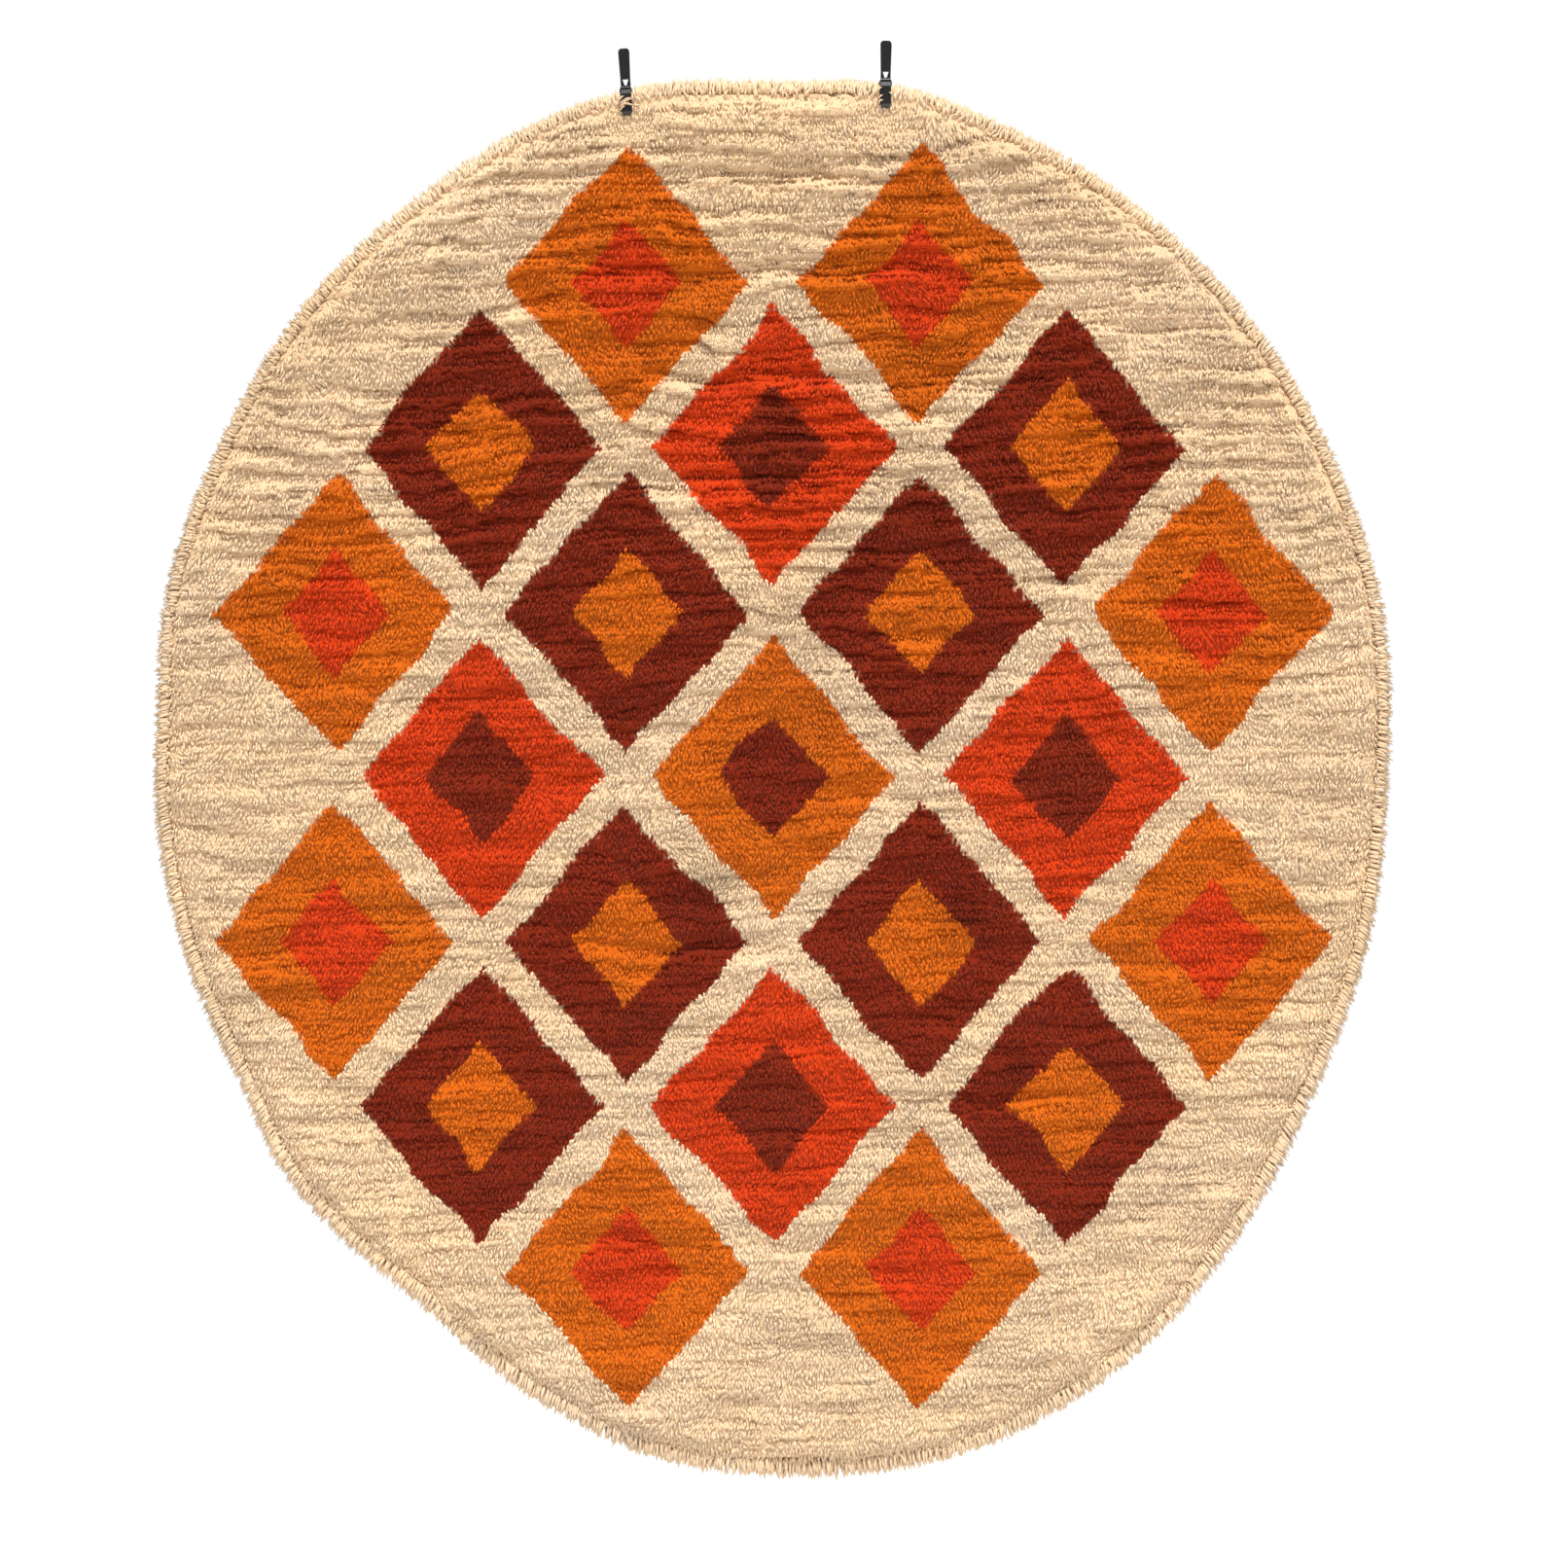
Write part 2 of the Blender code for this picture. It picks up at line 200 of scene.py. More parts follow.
@dataclass(frozen=True)
class Clip:
    """Where one clip hangs, and how it presses the pile."""

    side: str
    top_x: float
    top_z: float
    tilt: float
    length: float = 0.104
    pinch_half_width: float = 0.022
    pinch_below: float = 0.0116
    pinch_fade: float = 0.045

    def middle_at(self, z: np.ndarray) -> np.ndarray:
        """The clip's own middle line at each height."""
        return self.top_x + math.sin(math.radians(-self.tilt)) * (self.top_z - z)

    def pinch(self, x: np.ndarray, z: np.ndarray) -> np.ndarray:
        """How free the pile is of the jaws.

        Args:
            x: Places across.
            z: Heights.

        Returns:
            0 where the jaws press the pile flat, 1 clear of them.
        """
        beside = np.abs(x - self.middle_at(z)) - self.pinch_half_width
        below = self.top_z - self.length - z - self.pinch_below
        away = np.hypot(np.maximum(beside, 0.0), np.maximum(below, 0.0))
        return smooth_step(0.0, self.pinch_fade, away)


@dataclass(frozen=True)
class Lie:
    """How the rug hangs: its slow bends, its lumps and the creases across its pile."""

    outline: Outline
    clips: tuple[Clip, ...]
    pile_depth: float = 0.021
    lump_height: float = 0.009
    lump_width: float = 0.110
    lump_tallness: float = 0.040
    lump_slice: float = 3.7
    least_depth: float = 0.008
    pinched_depth: float = 0.009
    crease_wander_length: float = 0.075
    crease_slices: float = 9.0
    side_set_back: float = 0.016
    belly: float = 0.009
    belly_span: float = 0.95
    belly_drop: float = 1.9
    bends_start: float = 0.16
    bends_full: float = 0.75
    creases: tuple[tuple[float, ...], ...] = (
        # middle x, height z, half length, half width, depth, wander of its line
        (0.02, -0.205, 0.230, 0.014, 0.009, 0.016),
        (-0.02, -0.345, 0.300, 0.016, 0.010, 0.020),
        (0.62, -0.430, 0.160, 0.012, 0.006, 0.018),
        (0.10, -0.510, 0.420, 0.016, 0.011, 0.024),
        (0.07, -0.665, 0.400, 0.014, 0.009, 0.020),
        (-0.52, -0.590, 0.180, 0.013, 0.007, 0.020),
        (0.50, -0.800, 0.200, 0.012, 0.007, 0.024),
        (-0.45, -0.980, 0.260, 0.012, 0.006, 0.024),
        (0.30, -1.140, 0.320, 0.012, 0.005, 0.024),
        (-0.20, -1.370, 0.330, 0.012, 0.005, 0.020),
        (0.25, -1.600, 0.300, 0.012, 0.006, 0.024),
        (-0.10, -1.820, 0.260, 0.012, 0.005, 0.020),
    )

    def set_back(self, x: np.ndarray, z: np.ndarray) -> np.ndarray:
        """How far the cloth bends back from its plane.

        Args:
            x: Places across.
            z: Heights.

        Returns:
            The bend at each place, towards the back.
        """
        loose = smooth_step(self.bends_start, self.bends_full, -z)
        beside = x - self.outline.middle_x
        across = beside / float(self.outline.reach(np.array(0.0)))
        belly = np.cos(math.pi * beside / self.belly_span) * np.sin(-math.pi * z / self.belly_drop)
        return loose * (self.side_set_back * across * across - self.belly * belly)

    def crease(self, x: np.ndarray, z: np.ndarray) -> np.ndarray:
        """How deep the rows part.

        Args:
            x: Places across.
            z: Heights.

        Returns:
            The depth of the deepest crease at each place.
        """
        depth = np.zeros(np.shape(x))
        for middle, height, half_length, half_width, deep, wander in self.creases:
            along = (x - middle) / half_length
            line = height + wander * soft_noise(
                x / self.crease_wander_length, height * self.crease_slices, 0.5
            )
            across = (z - line) / half_width
            here = deep * np.clip(1.0 - along * along, 0.0, 1.0) * np.exp(-across * across)
            depth = np.maximum(depth, here)
        return depth

    def pinch(self, x: np.ndarray, z: np.ndarray) -> np.ndarray:
        """0 under a clip's jaws, 1 clear of both clips."""
        return np.minimum.reduce([clip.pinch(x, z) for clip in self.clips])

    def depth(self, x: np.ndarray, z: np.ndarray) -> np.ndarray:
        """From the ground cloth out to the pile's face, before the lips of its rows.

        Args:
            x: Places across.
            z: Heights.

        Returns:
            The depth at each place.
        """
        lump = soft_noise(x / self.lump_width, self.lump_slice, z / self.lump_tallness)
        full = self.pile_depth + self.lump_height * lump - self.crease(x, z)
        return np.maximum(full, self.least_depth)


@dataclass(frozen=True)
class Lips:
    """Overhanging lips where the rows of locks part as the rug hangs."""

    lie: Lie
    pitch: float
    upper_step: float
    lower_step: float
    wander: float
    slice_at: float
    base: float
    crease_gain: float
    slant: float = 0.045
    lift: float = 0.38
    groove: float = 0.0055
    groove_share: float = 0.16
    low_groove: float = 0.45
    full_crease: float = 0.006
    roundness: float = 1.6
    clearest: float = 1.25
    upper_from: float = -1.15
    upper_full: float = -0.55
    swings: tuple[tuple[float, float, float, float], ...] = (
        # share of the wander, width, slice, height
        (2.3, 0.34, 0.0, 0.21),
        (1.0, 0.085, 7.0, 0.06),
        (0.4, 0.026, 3.6, 0.03),
    )
    runs: tuple[tuple[float, float, float, float], ...] = (
        # share, length along a lip, step from lip to lip, slice
        (1.25, 0.13, 5.37, 0.0),
        (0.7, 0.05, 3.71, 6.0),
    )

    def place(self, x: np.ndarray, z: np.ndarray) -> tuple[np.ndarray, np.ndarray]:
        """Which lip a place belongs to.

        Args:
            x: Places across.
            z: Heights.

        Returns:
            The lip's number, and how far up it the place lies, 0 to 1.
        """
        swung = np.zeros(np.shape(x))
        for share, width, at, height in self.swings:
            swung = swung + share * soft_noise(x / width, self.slice_at + at, z / height)
        counted = (z - self.slant * x + self.wander * swung) / self.pitch
        number = np.floor(counted)
        return number, counted - number

    def strength(self, x: np.ndarray, z: np.ndarray, number: np.ndarray) -> np.ndarray:
        """How clearly each lip shows along its length.

        Args:
            x: Places across.
            z: Heights.
            number: The lip's number at each place.

        Returns:
            0 where a lip closes, 1 and more where it gapes.
        """
        clear = np.full(np.shape(x), self.base)
        for share, run, step, at in self.runs:
            clear = clear + share * soft_noise(x / run, number * step, self.slice_at + at)
        clear = np.clip(clear, 0.0, self.clearest)
        if self.crease_gain > 0.0:
            creased = np.clip(self.lie.crease(x, z) / self.full_crease, 0.0, 1.0)
            clear = clear * (1.0 - self.crease_gain) + creased * self.crease_gain * (0.5 + clear)
        return clear

    def relief(self, x: np.ndarray, z: np.ndarray) -> np.ndarray:
        """How far the lips stand out of the pile's mean face, or lie behind it.

        Args:
            x: Places across.
            z: Heights.

        Returns:
            The relief at each place.
        """
        number, up = self.place(x, z)
        upper = smooth_step(self.upper_from, self.upper_full, z)
        step = self.lower_step + (self.upper_step - self.lower_step) * upper
        slope = (1.0 - up) ** self.roundness - self.lift
        share = self.low_groove + (1.0 - self.low_groove) * upper
        groove = self.groove * share * smooth_step(1.0 - self.groove_share, 1.0, up)
        return self.strength(x, z, number) * (step * slope - groove)

    def to_edge(self, x: np.ndarray, z: np.ndarray) -> tuple[np.ndarray, np.ndarray]:
        """How far the next lip's edge lies below a place, and how clearly that lip shows."""
        number, up = self.place(x, z)
        return up * self.pitch, self.strength(x, z, number)


@dataclass(frozen=True)
class PileFace:
    """The face that the ends of the locks make."""

    lie: Lie
    lips: tuple[Lips, ...]
    shoulder: float = 0.032
    rim_share: float = 0.42
    least: float = 0.006
    trim_from: float = 0.15
    trim_full: float = 0.55
    shortest: float = 0.003

    def depth(self, x: np.ndarray, z: np.ndarray) -> np.ndarray:
        """How far the pile stands out of the ground cloth.

        Args:
            x: Places across.
            z: Heights.

        Returns:
            The depth at each place.
        """
        room = self.lie.outline.room(x, z)
        rim = self.rim_share + (1.0 - self.rim_share) * smooth_step(0.0, self.shoulder, room)
        full = self.lie.depth(x, z) + sum(lips.relief(x, z) for lips in self.lips)
        full = np.maximum(full, self.least) * rim
        pinched = self.lie.pinched_depth
        return pinched + (full - pinched) * self.lie.pinch(x, z)

    def trimmed(
        self, x: np.ndarray, z: np.ndarray, reach: np.ndarray, spare: np.ndarray
    ) -> np.ndarray:
        """Ends hanging locks near the lips' edges.

        Args:
            x: Places across where the locks turn down.
            z: Their heights.
            reach: How far below each place its lock would end.
            spare: How far past a lip's edge each lock may hang.

        Returns:
            How far below each place its lock ends.
        """
        for lips in self.lips:
            to_edge, clear = lips.to_edge(x, z)
            share = smooth_step(self.trim_from, self.trim_full, clear)
            reach = reach + (np.clip(to_edge + spare, self.shortest, reach) - reach) * share
        return reach


@dataclass(frozen=True)
class Motifs:
    """A generic layout: nested lozenges in staggered rows on a plain field.

    Heights and places are those of the rug laid flat, before it hung drawn out.
    """

    outline: Outline
    half_width: float = 0.196
    half_height: float = 0.200
    core_share: float = 0.46
    drawn_in: float = 0.943
    drawn_out: float = 1.059
    wander: float = 0.011
    lozenges: tuple[tuple[float, tuple[float, ...], Yarn, Yarn], ...] = (
        # height, places across, outer wool, core wool
        (0.705, (-0.235, 0.235), Yarn.ORANGE, Yarn.RED_ORANGE),
        (0.470, (0.0,), Yarn.RED_ORANGE, Yarn.RUST),
        (0.470, (-0.470, 0.470), Yarn.RUST, Yarn.ORANGE),
        (0.235, (-0.235, 0.235), Yarn.RUST, Yarn.ORANGE),
        (0.235, (-0.705, 0.705), Yarn.ORANGE, Yarn.RED_ORANGE),
        (0.0, (0.0,), Yarn.ORANGE, Yarn.RUST),
        (0.0, (-0.470, 0.470), Yarn.RED_ORANGE, Yarn.RUST),
    )

    def colours(self, x: np.ndarray, z: np.ndarray) -> np.ndarray:
        """Which wool is knotted in at each place.

        Args:
            x: Places across, as the rug hangs.
            z: Heights, as the rug hangs.

        Returns:
            A linear colour for each place.
        """
        sideways = self.wander * soft_noise(x / 0.11, 3.1, z / 0.06)
        upwards = self.wander * soft_noise(x / 0.07, 7.9, z / 0.07)
        across = (x - self.outline.middle_x) / self.drawn_in + sideways
        up = (z - self.outline.middle_z) / self.drawn_out + upwards
        found = np.empty((*np.shape(x), 3))
        found[:] = Yarn.CREAM.value
        for height, places, outer, core in self.lozenges:
            for place in places:
                for level in {height, -height}:
                    off = np.abs(across - place) / self.half_width
                    off = off + np.abs(up - level) / self.half_height
                    found[off < 1.0] = outer.value
                    found[off < self.core_share] = core.value
        return found


@dataclass(frozen=True)
class Wear:
    """Abrash of the dyes, handling and the stains of use."""

    dye_band: float = 0.035
    dye_cloud: float = 0.16
    band_share: float = 0.07
    cloud_share: float = 0.09
    warmth_share: float = 0.06
    lock_share: float = 0.08
    lock_warmth: float = 0.04
    band_length: float = 0.9
    warm_width: float = 0.3
    warm_height: float = 0.22
    red_share: float = 0.4
    ragged: float = 0.5
    ragged_size: float = 0.03
    stains: tuple[tuple[float, float, float, float], ...] = (
        # x, z, radius, strength
        (-0.075, -1.284, 0.042, 0.42),
        (0.316, -1.329, 0.045, 0.46),
        (0.398, -1.550, 0.030, 0.50),
        (-0.420, -0.760, 0.060, 0.08),
        (0.120, -1.960, 0.080, 0.10),
    )
    stain_colour: Colour = (0.330, 0.270, 0.170)

    def worn(self, colours: np.ndarray, x: np.ndarray, z: np.ndarray) -> np.ndarray:
        """Varies the wool's colours over the rug.

        Args:
            colours: A linear colour for each place.
            x: The places across.
            z: Their heights.

        Returns:
            The varied colours.
        """
        band = soft_noise(x / self.band_length, 1.7, z / self.dye_band)
        cloud = soft_noise(x / self.dye_cloud, 5.1, z / self.dye_cloud)
        tone = 1.0 + self.band_share * band + self.cloud_share * cloud
        warmth = self.warmth_share * soft_noise(x / self.warm_width, 9.4, z / self.warm_height)
        shaded = colours * tone[:, None]
        shaded[:, 0] *= 1.0 + self.red_share * warmth
        shaded[:, 2] *= 1.0 - warmth
        for stain_x, stain_z, radius, strength in self.stains:
            edge = soft_noise(x / self.ragged_size, 2.2, z / self.ragged_size)
            away = np.hypot(x - stain_x, z - stain_z) / (radius * (1.0 + self.ragged * edge))
            mix = (strength * np.exp(-away * away))[:, None]
            shaded = shaded * (1.0 - mix) + np.array(self.stain_colour) * shaded * mix
        return shaded

    def lock_tones(self, count: int, draws: np.random.Generator) -> np.ndarray:
        """Each lock's own shade.

        Args:
            count: How many locks.
            draws: The seeded source.

        Returns:
            A multiplier for each channel of each lock.
        """
        tone = 1.0 + self.lock_share * draws.uniform(-1.0, 1.0, count)
        warmth = self.lock_warmth * draws.uniform(-1.0, 1.0, count)
        return np.stack([tone * (1.0 + self.red_share * warmth), tone, tone * (1.0 - warmth)], axis=1)


def tint_points(mesh: bpy.types.Mesh, colours: np.ndarray) -> None:
    """Colours every point of a mesh.

    Args:
        mesh: The mesh.
        colours: A linear colour for each point.
    """
    opaque = np.concatenate([np.clip(colours, 0.0, 1.0), np.ones((len(colours), 1))], axis=1)
    layer = mesh.color_attributes.new(WoolFinish.colour_name, "FLOAT_COLOR", "POINT")
    layer.data.foreach_set("color", opaque.astype(np.float32).ravel())


def mesh_points(mesh: bpy.types.Mesh) -> np.ndarray:
    """A mesh's points, a row for each."""
    points = np.empty(len(mesh.vertices) * 3)
    mesh.vertices.foreach_get("co", points)
    return points.reshape(-1, 3)


def new_piece(
    name: str, mesh: bpy.types.Mesh, material: bpy.types.Material
) -> bpy.types.Object:
    """Shows a mesh as a piece of the rug.

    Args:
        name: The piece's name.
        mesh: Its mesh, in place.
        material: Its finish.

    Returns:
        The piece, riding on the root body.
    """
    mesh.materials.clear()
    mesh.materials.append(material)
    piece = bpy.data.objects.new(name, mesh)
    bpy.context.scene.collection.objects.link(piece)
    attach(piece, "root")
    return piece


@dataclass
class LockBatch:
    """Many three-sided locks of yarn, pointed at both ends, as arrays with a row for each."""

    roots: np.ndarray
    rings: list[np.ndarray]
    tips: np.ndarray
    sides: np.ndarray
    widths: list[np.ndarray]
    thicknesses: list[np.ndarray]
    colours: np.ndarray
    # painted shade: a colour multiplier for each level of a lock, root to tip, darker and warmer towards the
    # root where the pile shades it
    painted_root_shade: tuple[Colour, ...]

    def chosen(self, rows: np.ndarray) -> LockBatch:
        """The locks of some rows of the arrays alone."""
        return LockBatch(
            roots=self.roots[rows],
            rings=[ring[rows] for ring in self.rings],
            tips=self.tips[rows],
            sides=self.sides[rows],
            widths=[width[rows] for width in self.widths],
            thicknesses=[thickness[rows] for thickness in self.thicknesses],
            colours=self.colours[rows],
            painted_root_shade=self.painted_root_shade,
        )

    def corners(self) -> np.ndarray:
        """Works out every lock's points.

        Returns:
            Root, then right, front and left of each ring, then tip, a row for each lock.
        """
        centres = [self.roots, *self.rings, self.tips]
        found = [self.roots]
        for i in range(len(self.rings)):
            run = centres[i + 2] - centres[i]
            out = np.cross(run, self.sides)
            out /= np.linalg.norm(out, axis=1, keepdims=True)
            wide = self.sides * self.widths[i][:, None] / 2.0
            thick = out * self.thicknesses[i][:, None]
            middle = self.rings[i]
            back, front = thick * BACK_SHARE, thick * FRONT_SHARE
            found += [middle + wide - back, middle + front, middle - wide - back]
        found.append(self.tips)
        return np.stack(found, axis=1)

    def mesh(self, name: str) -> bpy.types.Mesh:
        """Joins the locks into one mesh with a colour on every point.

        Args:
            name: The mesh's name.

        Returns:
            The mesh, each lock a closed body of its own.
        """
        points = self.corners()
        count, per_lock, _ = points.shape
        patterns = []
        for a, b in ((0, 1), (1, 2), (2, 0)):
            patterns.append((0, 1 + b, 1 + a))
            for i in range(len(self.rings) - 1):
                low = 1 + 3 * i
                patterns.append((low + a, low + b, low + 3 + b, low + 3 + a))
            patterns.append((per_lock - 4 + a, per_lock - 4 + b, per_lock - 1))
        starts = np.arange(count)[:, None] * per_lock
        faces = []
        for pattern in patterns:
            faces += (starts + np.array(pattern)).tolist()
        made = bpy.data.meshes.new(name)
        made.from_pydata(points.reshape(-1, 3).tolist(), [], faces)
        made.shade_smooth()
        # each point's colour is its lock's colour times the painted shade of its level
        painted_root_shade = np.repeat(np.array(self.painted_root_shade), [1] + [3] * len(self.rings) + [1], axis=0)
        tint_points(made, (self.colours[:, None, :] * painted_root_shade[None, :, :]).reshape(-1, 3))
        return made


class NodeTree:
    """Places and joins a node tree's nodes."""

    def __init__(self, tree: bpy.types.NodeTree) -> None:
        """Keeps the tree."""
        self.tree = tree

    def node(self, kind: str, **values: object) -> bpy.types.Node:
        """Adds a node.

        Args:
            kind: Its type's name.
            values: Its settings and, with spaces as underscores, its sockets' values.

        Returns:
            The node.
        """
        made = self.tree.nodes.new(kind)
        for key, value in values.items():
            title = key.replace("_", " ")
            if title in made.inputs:
                made.inputs[title].default_value = value
            else:
                setattr(made, key, value)
        return made

    def link(self, source: bpy.types.NodeSocket, target: bpy.types.NodeSocket) -> None:
        """Joins two sockets."""
        self.tree.links.new(source, target)

    def maths(self, operation: str, *values: bpy.types.NodeSocket | float) -> bpy.types.NodeSocket:
        """Adds a Math node.

        Args:
            operation: What it works out.
            values: Its inputs, sockets or numbers.

        Returns:
            Its result.
        """
        made = self.tree.nodes.new("ShaderNodeMath")
        made.operation = operation
        for socket, value in zip(made.inputs, values):
            if isinstance(value, (int, float)):
                socket.default_value = value
            else:
                self.link(value, socket)
        return made.outputs[0]

    def noise_at(
        self, place: bpy.types.NodeSocket, scale: tuple[float, float, float], detail: float = 2.0
    ) -> bpy.types.NodeSocket:
        """Adds noise on a stretched place.

        Args:
            place: The place's socket.
            scale: How many waves a metre along each axis.
            detail: How fine its finest waves are.

        Returns:
            A value about 0.5.
        """
        mapping = self.node("ShaderNodeMapping")
        mapping.inputs["Scale"].default_value = scale
        self.link(place, mapping.inputs["Vector"])
        grain = self.node("ShaderNodeTexNoise", Scale=1.0, Detail=detail)
        self.link(mapping.outputs["Vector"], grain.inputs["Vector"])
        return grain.outputs["Fac"]


def new_group(
    name: str, inputs: dict[str, float], outputs: tuple[str, ...]
) -> tuple[NodeTree, bpy.types.Node, bpy.types.Node]:
    """Starts a shader node group of values.

    Args:
        name: The group's name.
        inputs: Its value inputs with their defaults.
        outputs: Its value outputs.

    Returns:
        The tree, its input node and its output node.
    """
    group = bpy.data.node_groups.new(name, "ShaderNodeTree")
    for title, default in inputs.items():
        socket = group.interface.new_socket(title, in_out="INPUT", socket_type="NodeSocketFloat")
        socket.default_value = default
    for title in outputs:
        group.interface.new_socket(title, in_out="OUTPUT", socket_type="NodeSocketFloat")
    tree = NodeTree(group)
    return tree, tree.node("NodeGroupInput"), tree.node("NodeGroupOutput")


class SharedEffects:
    """The shader groups that several finishes use."""

    def __init__(self) -> None:
        """Builds each group once."""
        self.fibre = self.build_fibre()
        self.scuff = self.build_scuff()

    def build_fibre(self) -> bpy.types.NodeTree:
        """Fine hairs of wool drawn out along the hang.

        Returns:
            The group, with a height and a tone about 1.
        """
        inputs = {"Across": 900.0, "Along": 160.0, "Tone": 0.2}
        tree, given, result = new_group("wool_fibre", inputs, ("Height", "Tone"))
        place = tree.node("ShaderNodeTexCoord").outputs["Object"]
        stretch = tree.node("ShaderNodeCombineXYZ")
        tree.link(given.outputs["Across"], stretch.inputs["X"])
        tree.link(given.outputs["Across"], stretch.inputs["Y"])
        tree.link(given.outputs["Along"], stretch.inputs["Z"])
        scaled = tree.node("ShaderNodeVectorMath", operation="MULTIPLY")
        tree.link(place, scaled.inputs[0])
        tree.link(stretch.outputs["Vector"], scaled.inputs[1])
        grain = tree.node("ShaderNodeTexNoise", Scale=1.0, Detail=3.0, Roughness=0.6)
        tree.link(scaled.outputs["Vector"], grain.inputs["Vector"])
        tree.link(grain.outputs["Fac"], result.inputs["Height"])
        centred = tree.maths("SUBTRACT", grain.outputs["Fac"], 0.5)
        swing = tree.maths("MULTIPLY", centred, given.outputs["Tone"])
        tree.link(tree.maths("ADD", tree.maths("MULTIPLY", swing, 2.0), 1.0), result.inputs["Tone"])
        return tree.tree

    def build_scuff(self) -> bpy.types.NodeTree:
        """Rubbed patches and fine scratches.

        Returns:
            The group, with a mask and a height.
        """
        inputs = {"Size": 90.0, "Amount": 0.5}
        tree, given, result = new_group("scuff", inputs, ("Mask", "Height"))
        place = tree.node("ShaderNodeTexCoord").outputs["Object"]
        cloud = tree.node("ShaderNodeTexNoise", Detail=4.0, Roughness=0.7)
        tree.link(place, cloud.inputs["Vector"])
        tree.link(given.outputs["Size"], cloud.inputs["Scale"])
        lines = tree.noise_at(place, (2400.0, 2400.0, 160.0), 1.0)
        rubbed = tree.maths("MULTIPLY", cloud.outputs["Fac"], lines)
        edge = tree.maths("SUBTRACT", 0.42, tree.maths("MULTIPLY", given.outputs["Amount"], 0.2))
        past = tree.maths("MAXIMUM", tree.maths("SUBTRACT", rubbed, edge), 0.0)
        mask = tree.maths("MINIMUM", tree.maths("MULTIPLY", past, 9.0), 1.0)
        tree.link(mask, result.inputs["Mask"])
        tree.link(rubbed, result.inputs["Height"])
        return tree.tree


def new_material(name: str) -> tuple[bpy.types.Material, NodeTree, bpy.types.Node]:
    """Starts a material.

    Args:
        name: Its name.

    Returns:
        The material, its tree and its Principled shader.
    """
    material = bpy.data.materials.new(name)
    material.use_nodes = True
    return material, NodeTree(material.node_tree), material.node_tree.nodes["Principled BSDF"]


def scaled_colour(
    tree: NodeTree, colour: bpy.types.NodeSocket, tone: bpy.types.NodeSocket
) -> bpy.types.NodeSocket:
    """Multiplies a colour by a value.

    Args:
        tree: The material's tree.
        colour: The colour's socket.
        tone: The socket of a value about 1.

    Returns:
        The scaled colour.
    """
    scaled = tree.node("ShaderNodeVectorMath", operation="SCALE")
    tree.link(colour, scaled.inputs[0])
    tree.link(tone, scaled.inputs["Scale"])
    return scaled.outputs["Vector"]


@dataclass(frozen=True)
class WoolFinish:
    """Loosely spun rya wool, dyed lock by lock."""

    effects: SharedEffects
    roughness: float = 0.93
    sheen: float = 0.04
    sheen_roughness: float = 0.55
    bump_height: float = 0.0012
    specular: float = 0.08
    fibre_tone: float = 0.35
    colour_name: str = "wool_colour"

    def material(self) -> bpy.types.Material:
        """Builds the finish."""
        material, tree, shader = new_material("rya_wool")
        dyed = tree.node("ShaderNodeAttribute", attribute_name=self.colour_name)
        fibre = tree.node("ShaderNodeGroup", node_tree=self.effects.fibre)
        fibre.inputs["Tone"].default_value = self.fibre_tone
        toned = scaled_colour(tree, dyed.outputs["Color"], fibre.outputs["Tone"])
        tree.link(toned, shader.inputs["Base Color"])
        bump = tree.node("ShaderNodeBump", Strength=0.6, Distance=self.bump_height)
        tree.link(fibre.outputs["Height"], bump.inputs["Height"])
        tree.link(bump.outputs["Normal"], shader.inputs["Normal"])
        shader.inputs["Roughness"].default_value = self.roughness
        shader.inputs["Sheen Weight"].default_value = self.sheen
        shader.inputs["Sheen Roughness"].default_value = self.sheen_roughness
        shader.inputs["Specular IOR Level"].default_value = self.specular
        return material


